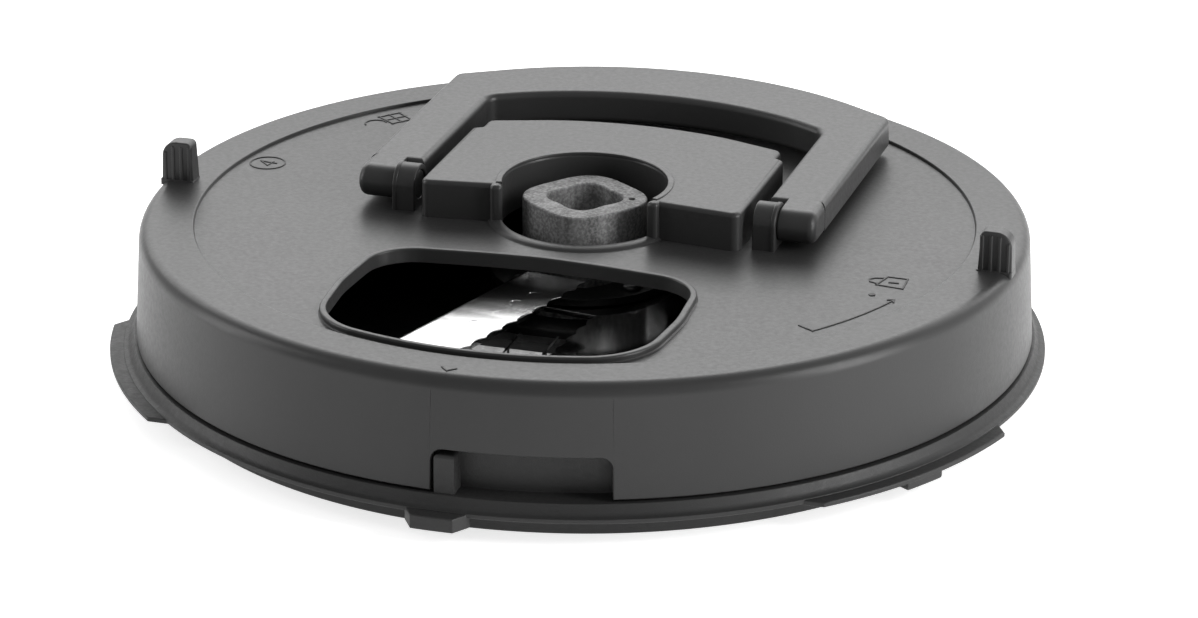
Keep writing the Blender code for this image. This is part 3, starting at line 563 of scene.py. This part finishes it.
def skirt_edge():
    """The skirt's lower edge with its notch, as (degrees, z) once round the axis."""
    low, high = NOTCH_ANGLES
    corner = math.degrees(NOTCH_CORNER / LID_BOTTOM_R)
    slant = 0.03
    edge = []
    steps = 224
    start = high - 360
    for i in range(steps + 1):
        edge.append((start + (low - start) * i / steps, SKIRT_BOTTOM_Z))
    bends = [math.radians(90 * k / 6) for k in range(7)]
    for bend in bends:
        rise = NOTCH_CORNER * (math.sin(bend) - 1)
        edge.append((low + slant + corner * (1 - math.cos(bend)), NOTCH_TOP_Z + rise))
    inner = (low + slant + corner, high - slant - corner)
    for i in range(1, 12):
        edge.append((inner[0] + (inner[1] - inner[0]) * i / 12, NOTCH_TOP_Z))
    for bend in reversed(bends):
        rise = NOTCH_CORNER * (math.sin(bend) - 1)
        edge.append((high - slant - corner * (1 - math.cos(bend)), NOTCH_TOP_Z + rise))
    return edge


def skirt_rings(bm, edge):
    """Rings from the outer face round the rounded lower edge to the inner face."""
    per_degree = math.radians(LID_BOTTOM_R)
    turn = 360 * per_degree
    flat = [(angle * per_degree, z) for angle, z in edge]
    fillet_z = RIM_TOP_Z - RIM_FILLET
    rings = []
    radius, depth = 0.35, SKIRT_THICKNESS
    profile = []
    for k in range(4):
        bend = math.radians(30 * k)
        profile.append((radius * (1 - math.sin(bend)), radius * (1 - math.cos(bend))))
    profile += [(inset, depth - inward) for inset, inward in reversed(profile)]
    for inset, inward in profile:
        points = []
        for i, (s, z) in enumerate(flat):
            before = flat[i - 1] if i else (flat[-1][0] - turn, flat[-1][1])
            after = flat[i + 1] if i + 1 < len(flat) else (flat[0][0] + turn, flat[0][1])
            ux, uy = s - before[0], z - before[1]
            vx, vy = after[0] - s, after[1] - z
            ul, vl = math.hypot(ux, uy), math.hypot(vx, vy)
            nx, ny = -uy / ul - vy / vl, ux / ul + vx / vl
            reach = 2 * inset / (nx * nx + ny * ny)
            s, z = s + reach * nx, z + reach * ny
            share = (z - SKIRT_BOTTOM_Z) / (fillet_z - SKIRT_BOTTOM_Z)
            x, y = on_circle(LID_BOTTOM_R + (LID_TOP_R - LID_BOTTOM_R) * share - inward, s / per_degree)
            points.append((x, y, z))
        rings.append(ring(bm, points))
    for a, b in zip(rings, rings[1:]):
        bridge(bm, a, b)
    return rings[0], rings[-1]


def make_lid(materials):
    bm = bmesh.new()
    edge = skirt_edge()
    outer, inner = skirt_rings(bm, edge)
    profile = arc(RIM_FILLET, 0, 90, 8, (LID_TOP_R - RIM_FILLET, RIM_TOP_Z - RIM_FILLET))
    profile += arc(0.25, 90, 170, 3, (RIM_INNER_R + 0.45, RIM_TOP_Z - 0.25))
    profile.append((RIM_INNER_R, PLATE_TOP_Z))
    for radius, z in profile:
        following = ring(bm, [(*on_circle(radius, angle), z) for angle, _ in edge])
        bridge(bm, outer, following)
        outer = following
    roof = ring(bm, [(*on_circle(LID_TOP_R - SKIRT_THICKNESS, angle), PLATE_BOTTOM_Z) for angle, _ in edge])
    bridge(bm, inner, roof)
    lip = [(0.0, PLATE_BOTTOM_Z), *edge_profile(PLATE_TOP_Z, LIP_TOP_Z, 0, 0.4, 1)[1:]]
    lip_outside = edge_profile(PLATE_TOP_Z, LIP_TOP_Z, 0, 0.5, -1)[1:]
    lip += [(LIP_WIDTH + out, z) for out, z in reversed(lip_outside)]
    lip += [(LIP_WIDTH, PLATE_TOP_Z + 0.25), (LIP_WIDTH + 0.25, PLATE_TOP_Z)]
    food_bottom, food_top = walls(bm, food_outline(), lip)
    bead_z = PLATE_TOP_Z + 0.8
    bead = [
        (0.0, PLATE_BOTTOM_Z),
        (0.0, bead_z - 0.5),
        (0.12, bead_z - 0.2),
        (0.4, bead_z),
        (0.9, bead_z + 0.05),
        (1.6, bead_z),
        (2.3, bead_z - 0.15),
        (2.8, bead_z - 0.4),
        (3.0, bead_z - 0.65),
        (3.2, PLATE_TOP_Z),
    ]
    hub_bottom, hub_top = walls(bm, circle(HUB_HOLE_R, LARGE_FACETS), bead)
    cap(bm, [outer, food_top, hub_top])
    cap(bm, [roof, food_bottom, hub_bottom])
    slab(bm, block_outline(), [], PLATE_TOP_Z - 0.3, BLOCK_TOP_Z, 0, 1.0)
    add_block_posts(bm)
    for side in (-1, 1):
        add_knuckle(bm, side)
    for angle in BAYONET_ANGLES:
        low, high = angle - BAYONET_HALF_ANGLE, angle + BAYONET_HALF_ANGLE
        lug = arc(LID_BAYONET_R[1], low, high, 12) + arc(LID_BAYONET_R[0], high, low, 12)
        slab(bm, lug, [], *LID_BAYONET_Z)
    make("lid", bm, materials["lid"], "lid", ["lid_shell"])
    make_tabs(materials)
    make_marks(materials)


def add_block_posts(bm):
    """The hub hole's bead turns up into a rounded post at each front corner of the block."""
    for side in (-1, 1):
        corners = []
        for radius, angle in ((18.5, -27.5), (21.2, -26.5), (21.2, -16.0), (18.5, -16.0)):
            x, y = on_circle(radius, angle)
            corners.append((side * x, y, 1.1 if angle < -20 else 0.0))
        if side < 0:
            corners.reverse()
        slab(bm, rounded(corners), [], PLATE_TOP_Z - 0.3, BLOCK_TOP_Z + 0.02, 0, 0.9)
    brim = arc(HUB_HOLE_R + 1.3, -20, 200, 72) + arc(HUB_HOLE_R - 0.1, 200, -20, 72)
    slab(bm, brim, [], BLOCK_TOP_Z - 0.3, BLOCK_TOP_Z + 0.25, 0, 0.25)


def add_knuckle(bm, side):
    """A strap over the handle's journal, with a collar on its outer side."""
    foot = PLATE_TOP_Z - 0.3
    bore = circle(JOURNAL_R + 0.15, SMALL_FACETS, (HINGE_Y, HINGE_Z))
    for radius, start, end in ((KNUCKLE_R, KNUCKLE_X[0], KNUCKLE_X[1]), (KNUCKLE_R + 0.15, 43.1, 44.15)):
        strap = arc(radius, 0, 180, 24, (HINGE_Y, HINGE_Z))
        outline = [(HINGE_Y - radius, foot), (HINGE_Y + radius, foot)] + strap
        near, far = sorted((BLOCK_X + side * start, BLOCK_X + side * end))
        slab_along(bm, ALONG_X, outline[:-1], [bore], near, far, 0.3, 0.3)


def make_tabs(materials):
    """Finger tabs: a rounded outer corner, a ribbed front face and a low plinth."""
    bm = bmesh.new()
    foot = RIM_TOP_Z - 1.2
    width = TAB_X[1] - TAB_X[0]
    root_y, crest_y = TAB_Y[0] + 0.4, TAB_Y[0] - 0.28
    front, rear = TAB_Y[0] - 0.35, TAB_Y[1] + 0.3
    for side in (-1, 1):
        corners = [
            (side * TAB_X[0], foot, 0.0),
            (side * TAB_X[1], foot, 0.0),
            (side * (TAB_X[1] - 0.3), TAB_TOP_Z, 3.4),
            (side * (TAB_X[0] + 0.6), TAB_TOP_Z, 1.2),
        ]
        if side < 0:
            corners.reverse()
        slab_along(bm, ALONG_Y, rounded(corners), [], *TAB_Y, 0.35, 0.35)
        low_x = min(side * TAB_X[0], side * TAB_X[1])
        for k in range(TAB_RIBS):
            x = low_x + width * (k + 0.5) / TAB_RIBS
            inset = 2.4 if x * side > TAB_X[1] - 2.5 else 0.9
            rib = rounded([
                (x - 0.62, root_y, 0.0),
                (x - 0.3, crest_y, 0.25),
                (x + 0.3, crest_y, 0.25),
                (x + 0.62, root_y, 0.0),
            ])
            slab(bm, rib, [], foot + 0.2, TAB_TOP_Z - inset, 0, 0.3)
        near, far = low_x - 0.25, low_x + width
        plinth = rounded([(near, front, 0.5), (far, front, 0.5), (far, rear, 0.5), (near, rear, 0.5)])
        slab(bm, plinth, [], foot, RIM_TOP_Z + 0.25, 0, 0.2)
    make("finger_tabs", bm, materials["lid"], "lid")


def make_marks(materials):
    """Generic raised marks: a ringed number, a dice pattern, a turning arrow, a padlock and a front mark."""
    bm = bmesh.new()
    low, high = PLATE_TOP_Z - MARK_SINK, PLATE_TOP_Z + MARK_RISE
    number_r = 80.9
    centre = on_circle(number_r, 171.2)
    stroke(bm, circle(4.0, 48, centre), 0.42, low, high, True)
    out = (centre[0] / number_r, centre[1] / number_r)
    along = (out[1], -out[0])

    def local(u, v):
        return centre[0] + along[0] * u + out[0] * v, centre[1] + along[1] * u + out[1] * v

    stroke(bm, [local(0.6, -2.1), local(0.6, 2.1)], 0.42, low, high)
    stroke(bm, [local(0.6, 2.1), local(-1.5, -0.8), local(1.4, -0.8)], 0.42, low, high)
    for i in range(3):
        stroke(bm, [on_circle(r, 142.9 - 1.9 * i) for r in (77.0, 83.4)], 0.4, low, high)
        stroke(bm, arc(77.4 + 2.8 * i, 143.2, 138.8, 4), 0.4, low, high)
    stroke(bm, arc(2.6, 40, 220, 12, on_circle(79.6, 145.2)), 0.4, low, high)
    stroke(bm, [on_circle(77.9, -37.6), on_circle(82.0, -37.3)], 0.45, low, high)
    stroke(bm, arc(82.1, -37.5, -19.6, 30), 0.42, low, high)
    stroke(bm, [on_circle(82.9, -20.6), on_circle(82.1, -19.4), on_circle(80.9, -20.2)], 0.45, low, high)
    button(bm, [(0.75, low), (0.75, high)], 16, on_circle(76.6, -19.7))
    body = [on_circle(r, a) for r, a in ((74.3, -15.5), (80.3, -14.9), (78.7, -10.8), (74.3, -11.3))]
    stroke(bm, body, 0.42, low, high, True)
    bow = ((74.2, -12.1), (72.2, -12.9), (71.5, -13.8), (72.2, -14.8), (74.2, -15.0))
    stroke(bm, [on_circle(r, a) for r, a in bow], 0.42, low, high)
    stroke(bm, [on_circle(75.9, -13.5), on_circle(78.1, -13.1)], 0.6, low, high)
    front_mark = [(-1.6, -93.4), (0.0, -95.2), (1.6, -93.4)]
    stroke(bm, front_mark, 0.5, RIM_TOP_Z - MARK_SINK, RIM_TOP_Z + MARK_RISE)
    # The marks wear the darkened plastic: painted shade along the relief, not a different plastic.
    make("lid_marks", bm, materials["mark"], "lid")


# ---------------------------------------------------------------- handle


def make_handle(materials):
    rear_y = CROSSBAR_INNER_Y - CROSSBAR_INNER_R
    corner_y = rear_y + math.sqrt(CROSSBAR_INNER_R**2 - ARM_INNER_X**2)
    outer = [(ARM_OUTER_X, ARM_START_Y, 0.0), (ARM_OUTER_X, ARM_END_Y, 3.0)]
    outer += [(*on_circle(CROSSBAR_OUTER_R, angle), 0.0) for angle in range(56, 91, 2)]
    inner = [(0.0, CROSSBAR_INNER_Y, 0.0)]
    for x in range(3, 36, 3):
        inner.append((x, rear_y + math.sqrt(CROSSBAR_INNER_R**2 - x * x), 0.0))
    inner += [(ARM_INNER_X, corner_y, 4.0), (ARM_INNER_X, ARM_START_Y, 0.0)]
    outer_left = [(-x, y, radius) for x, y, radius in reversed(outer[:-1])]
    inner_left = [(-x, y, radius) for x, y, radius in reversed(inner[1:])]
    outline = [(BLOCK_X + x, y) for x, y in rounded(outer + outer_left + inner_left + inner)]
    bm = bmesh.new()
    slab(bm, outline, [], *HANDLE_Z, 1.5, 1.5)
    barrel = arc(BARREL_R, 90, 270, 32, (HINGE_Y, HINGE_Z))
    barrel += [(ARM_START_Y + 8, HINGE_Z - BARREL_R), (ARM_START_Y + 8, HINGE_Z + BARREL_R)]
    for side in (-1, 1):
        near, far = sorted(BLOCK_X + side * x for x in (ARM_STEP_X, ARM_OUTER_X - 0.03))
        ends = (0.3, 1.8) if side > 0 else (1.8, 0.3)
        slab_along(bm, ALONG_X, barrel, [], near, far, *ends)
        shaft = circle(JOURNAL_R, SMALL_FACETS, (HINGE_Y, HINGE_Z))
        near, far = sorted(BLOCK_X + side * x for x in (KNUCKLE_X[0] + 0.2, ARM_STEP_X + 2))
        slab_along(bm, ALONG_X, shaft, [], near, far, 0.2, 0.2)
    make("handle", bm, materials["handle"], "handle", ["carry_handle"])


# ---------------------------------------------------------------- base and grid


def make_base(materials):
    bm = bmesh.new()
    profile = rounded([
        (WALL_INNER_R, -CENTRING_WALL_DEPTH, 0.3),
        (CENTRING_WALL_R, -CENTRING_WALL_DEPTH, 0.5),
        (CENTRING_WALL_R, FLANGE_BOTTOM_Z, 0.3),
        (FLANGE_R, FLANGE_BOTTOM_Z, 0.3),
        (FLANGE_R, FLANGE_EDGE_Z, 0.2),
        (101.7, 3.75, 1.6),
        (LEDGE_R + 0.2, LEDGE_Z, 0.3),
        (WALL_R, LEDGE_Z, 0.3),
        (WALL_R, WALL_TOP_Z, 0.4),
        (WALL_INNER_R, WALL_TOP_Z, 0.4),
    ], 4)
    lathe(bm, profile, LARGE_FACETS)
    deck = circle(WALL_INNER_R + 0.8, LARGE_FACETS)
    opening = grid_outline(GRID_BAR + 0.3)
    slab(bm, deck, [opening, circle(DRUM_R - 0.8, MEDIUM_FACETS)], *DECK_Z, 0.2, 0.2)
    drum = rounded([
        (DRUM_INNER_R, DRUM_Z[0], 0.3),
        (DRUM_R, DRUM_Z[0], 0.3),
        (DRUM_R, DRUM_Z[1], 0.5),
        (DRUM_MOUTH_R, DRUM_Z[1], 0.3),
        (DRUM_MOUTH_R, DRUM_ROOF_Z, 0.3),
        (DRUM_INNER_R, DRUM_ROOF_Z, 0.3),
    ], 4)
    lathe(bm, drum, MEDIUM_FACETS)
    for angle in EAR_ANGLES:
        tip = (angle - EAR_HALF_ANGLE, angle + EAR_HALF_ANGLE)
        outline = [on_circle(FLANGE_R - 0.5, tip[0] - 2)] + arc(EAR_R, *tip, 24)
        outline += [on_circle(FLANGE_R - 0.5, tip[1] + 2)] + arc(FLANGE_R - 1.6, tip[1] + 2, tip[0] - 2, 24)
        slab(bm, outline, [], FLANGE_BOTTOM_Z - 0.2, FLANGE_EDGE_Z - 0.1, 0.2, 0.3)
        low, high = angle - LUG_HALF_ANGLE, angle + LUG_HALF_ANGLE
        lug = arc(EAR_R - 0.8, low, high, 8) + arc(FLANGE_R - 1.3, high, low, 8)
        slab(bm, lug, [], 0.0, LUG_TOP_Z, 0.7, 0)
    start, tip_start, tip_end, end = FRONT_TAB_ANGLES
    tab = [on_circle(FLANGE_R - 0.5, start)] + arc(EAR_R, tip_start, tip_end, 6)
    tab += [on_circle(FLANGE_R - 0.5, end)] + arc(FLANGE_R - 1.6, end, start, 6)
    slab(bm, tab, [], 0.0, FRONT_TAB_TOP_Z, 0.3, 0.35)
    low, high = STOP_POST_ANGLES
    post = arc(STOP_POST_R[1], low, high, 4) + arc(STOP_POST_R[0], high, low, 4)
    slab(bm, post, [], STOP_POST_BOTTOM_Z, NOTCH_TOP_Z - 1.1, 0, 0.8)
    for angle in BAYONET_ANGLES:
        low, high = angle - BAYONET_HALF_ANGLE, angle + BAYONET_HALF_ANGLE
        lug = arc(WALL_R + 1.6, low, high, 12) + arc(WALL_R - 0.8, high, low, 12)
        slab(bm, lug, [], *BASE_BAYONET_Z)
    for angle in COVER_EAR_ANGLES:
        centre = on_circle(COVER_EAR_R, angle)
        screw_hole = circle(COVER_SCREW_HOLE_R, 24, centre)
        slab(bm, circle(COVER_BOSS_R, 32, centre), [screw_hole], DRUM_Z[0], DECK_Z[0] + 0.6, 0.3, 0)
    make("base", bm, materials["base"], "base", ["base_ring"])


def make_grid_frame(materials):
    bm = bmesh.new()
    slab(bm, grid_outline(GRID_BAR), [grid_outline(0.0)], *GRID_WALL_Z, 0.3, 0)
    slab(bm, grid_outline(GRID_RIM), [grid_outline(0.05)], *GRID_RIM_Z, 0.2, 0.4)
    make("dicing_grid_frame", bm, materials["base"], "base", ["grid_frame"])


# ---------------------------------------------------------------- disc, blade and hub


def blade_rivet_centres():
    return [on_edge(EDGE_LENGTH * (i + 0.5) / 4, -BLADE_RISE - BLADE_FOOT / 2) for i in range(4)]


def hub_screw_centres():
    return [on_circle(HUB_SCREW_R, 54.0 + 90 * i) for i in range(4)]


def make_disc(materials):
    steps = SCALLOPS * 12
    slot = [on_edge(2.0, -SLOT_UNDER_BLADE), on_edge(EDGE_LENGTH - 2.0, -SLOT_UNDER_BLADE)]
    for i in range(steps, -1, -1):
        along = EDGE_LENGTH * i / steps
        width = SLOT_WIDTHS[0] + (SLOT_WIDTHS[1] - SLOT_WIDTHS[0]) * i / steps
        slot.append(on_edge(along, width - scallop(along)))
    bm = bmesh.new()
    slab(bm, circle(DISC_R, LARGE_FACETS), [circle(DISC_BORE_R, MEDIUM_FACETS), slot], *DISC_Z, 0.15, 0.15)
    make("disc", bm, materials["disc"], "rotor", ["slicing_disc"])


def make_blade(materials):
    foot = DISC_Z[1] + 0.3
    steps = SCALLOPS * 14
    bm = bmesh.new()
    sections = []
    for i in range(steps + 1):
        along = 1.0 + (EDGE_LENGTH - 2.0) * i / steps
        tip = -scallop(along)
        section = [
            (-BLADE_RISE - BLADE_FOOT, foot),
            (-BLADE_RISE, foot),
            (-BLADE_WIDTH, BLADE_REAR_Z - BLADE_THICKNESS),
            (tip - 1.5, EDGE_Z - BLADE_THICKNESS),
            (tip - 0.1, EDGE_Z - 0.2),
            (tip, EDGE_Z - 0.1),
            (tip - 0.1, EDGE_Z),
            (-BLADE_WIDTH + 0.6, BLADE_REAR_Z + 0.02),
            (-BLADE_WIDTH, BLADE_REAR_Z - 0.05),
            (-BLADE_WIDTH - 0.5, BLADE_REAR_Z - 0.3),
            (-BLADE_RISE - 0.7, foot + 0.8),
            (-BLADE_RISE - BLADE_FOOT, foot + 0.8),
        ]
        sections.append(ring(bm, [(*on_edge(along, across), z) for across, z in section]))
    for a, b in zip(sections, sections[1:]):
        bridge(bm, a, b)
    bm.faces.new(sections[0])
    bm.faces.new(sections[-1])
    for along, across in ((13.0, -6.2), (19.0, -6.6), (26.0, -6.0), (33.5, -7.4)):
        stroke(bm, circle(1.5, 24, on_edge(along, across)), 0.25, EDGE_Z - 0.6, EDGE_Z - 0.3, True)
    make("blade", bm, materials["blade"], "rotor", ["slicing_blade"])
    rivets = bmesh.new()
    top = foot + 0.8
    shank_bottom = 16.1
    profile = [(1.0, shank_bottom), (1.0, top), (2.1, top)]
    profile += [(2.05, top + 0.3), (1.6, top + 0.7), (0.8, top + 0.9)]
    for centre in blade_rivet_centres():
        button(rivets, profile, 28, centre)
    nodes = [f"blade_rivet_{i}" for i in range(1, 5)]
    make("blade_rivets", rivets, materials["blade"], "rotor", nodes)


def make_hub(materials):
    bottom = DISC_Z[1] + 0.3
    shoulder = bottom + HUB_FLANGE_THICKNESS
    sunk = shoulder - 0.2
    bm = bmesh.new()
    dimple = circle(DIMPLE_R, 20, DIMPLE_CENTRE)
    outer = walls(bm, lobed(HUB_R), [(0.0, sunk), *edge_profile(shoulder, HUB_TOP_Z, 0, 0.45, -1)[1:]])
    bore = walls(bm, lobed(BORE_R), [(0.0, sunk), *edge_profile(shoulder, HUB_TOP_Z, 0, 0.5, 1)[1:]])
    dimple_edge = edge_profile(shoulder, HUB_TOP_Z, 0, 0.12, 1)[1:]
    hole = walls(bm, dimple, [(0.0, HUB_TOP_Z - DIMPLE_DEPTH), *dimple_edge])
    cap(bm, [outer[1], bore[1], hole[1]])
    cap(bm, [outer[0], bore[0]])
    cap(bm, [hole[0]])
    make("hub", bm, materials["hub"], "rotor", ["drive_hub"])
    flange = bmesh.new()
    slab(flange, circle(HUB_FLANGE_R, MEDIUM_FACETS), [lobed(BORE_R)], bottom, shoulder, 0.2, 0.3)
    # The flange wears the darkened nylon: painted shade under the lid.
    make("hub_flange", flange, materials["flange"], "rotor")
    screws = bmesh.new()
    head = shoulder + 0.2
    shank_bottom = 14.9
    profile = [(1.0, shank_bottom), (1.0, head), (2.2, head)]
    profile += [(2.2, head + 0.6), (1.9, head + 1.0), (1.2, head + 1.2)]
    for centre in hub_screw_centres():
        button(screws, profile, 32, centre)
    nodes = [f"hub_screw_{i}" for i in range(1, 5)]
    # The screws wear the darkened steel: painted shade under the lid.
    make("hub_screws", screws, materials["screw"], "rotor", nodes)


def dress_nodes(frame, materials):
    """Gives each model node that still shows its material and slightly broken edges."""
    finish = {
        "ring_gear": "gear",
        "drum_bushing": "gear",
        "sun_gear": "gear",
        "planet_carrier": "gear",
        "hub_backing_ring": "hub",
        "gear_cover": "base",
    }
    for name, obj in frame["nodes"].items():
        if name.startswith("grid_strip"):
            kind, width = "grid", 0.08
        elif name.startswith("cover_screw") or name.startswith("planet_pin"):
            kind, width = "zinc", 0.15
        elif name.startswith("planet_gear"):
            kind, width = "gear", 0.1
        else:
            kind, width = finish.get(name, "base"), 0.15
        if obj.hide_render:
            continue
        obj.data.materials.clear()
        obj.data.materials.append(materials[kind])
        edges = obj.modifiers.new("broken_edges", "BEVEL")
        edges.width = width * MM
        edges.segments = 2
        edges.limit_method = "ANGLE"
        edges.angle_limit = math.radians(40)
        edges.harden_normals = True


# ---------------------------------------------------------------- studio


def make_floor():
    mesh = bpy.data.meshes.new("studio_floor")
    half = FLOOR_HALF_WIDTH
    corners = [(-half, -half, 0), (half, -half, 0), (half, half, 0), (-half, half, 0)]
    mesh.from_pydata(corners, [], [(0, 1, 2, 3)])
    floor = bpy.data.objects.new("studio_floor", mesh)
    bpy.context.scene.collection.objects.link(floor)
    made, tree, shader = new_material("pale_floor")
    tree.links.new(grey_mix(tree, noise(tree, 3.0), grey(0.78), grey(0.80)), shader.inputs["Base Color"])
    shader.inputs["Roughness"].default_value = 0.9
    shader.inputs["Specular IOR Level"].default_value = 0.1
    shader.inputs["Emission Color"].default_value = (1.0, 1.0, 1.0, 1.0)
    shader.inputs["Emission Strength"].default_value = 0.72
    mesh.materials.append(made)


def area_light(name, location, size, watts):
    """A rectangular light that faces the object."""
    data = bpy.data.lights.new(name, "AREA")
    data.shape = "RECTANGLE"
    data.size, data.size_y = size
    data.energy = watts
    light = bpy.data.objects.new(name, data)
    light.location = location
    away = light.location.copy()
    away.x -= LIGHT_TARGET[0]
    away.y -= LIGHT_TARGET[1]
    away.z -= LIGHT_TARGET[2]
    light.rotation_mode = "QUATERNION"
    light.rotation_quaternion = away.to_track_quat("Z", "Y")
    bpy.context.scene.collection.objects.link(light)


def make_studio():
    world = bpy.data.worlds.new("studio")
    bpy.context.scene.world = world
    world.use_nodes = True
    tree = world.node_tree
    direction = add_node(tree, "ShaderNodeTexCoord")
    axes = add_node(tree, "ShaderNodeSeparateXYZ", {"Vector": direction.outputs["Generated"]})
    brightness = ranged(tree, axes.outputs["Y"], 0.30, 1.1, 0.10, 0.85)
    sky = tree.nodes["Background"]
    sky.inputs["Color"].default_value = (1.0, 1.0, 1.0, 1.0)
    tree.links.new(brightness, sky.inputs["Strength"])
    area_light("back_softbox", (-0.12, 0.50, 0.37), (1.2, 0.34), 3.4)
    area_light("left_strip", (-0.85, -0.15, 0.25), (0.25, 0.8), 3.4)
    area_light("right_strip", (0.85, -0.10, 0.25), (0.25, 0.8), 8.0)
    bpy.context.scene.view_settings.view_transform = "Standard"


def make_camera():
    """Looks down at the front from its right, about 22 degrees above the horizon."""
    forward = (-0.2718, 0.8889, -0.3688)
    level = (0.9563, 0.2924, 0.0)
    upright = (-0.1078, 0.3527, 0.9295)
    across, along = math.cos(CAMERA_ROLL), math.sin(CAMERA_ROLL)
    side = [a * across + b * along for a, b in zip(level, upright)]
    top = [b * across - a * along for a, b in zip(level, upright)]
    data = bpy.data.cameras.new("camera")
    data.sensor_width = SENSOR_MM
    data.lens = LENS_MM
    camera = bpy.data.objects.new("camera", data)
    columns = Matrix((side, top, [-value for value in forward])).transposed().to_4x4()
    columns.translation = CAMERA_PLACE
    camera.matrix_world = columns
    bpy.context.scene.collection.objects.link(camera)
    bpy.context.scene.camera = camera


make_camera()
palette = make_materials()
make_lid(palette)
make_handle(palette)
make_base(palette)
make_grid_frame(palette)
make_disc(palette)
make_blade(palette)
make_hub(palette)
dress_nodes(frame, palette)
make_floor()
make_studio()
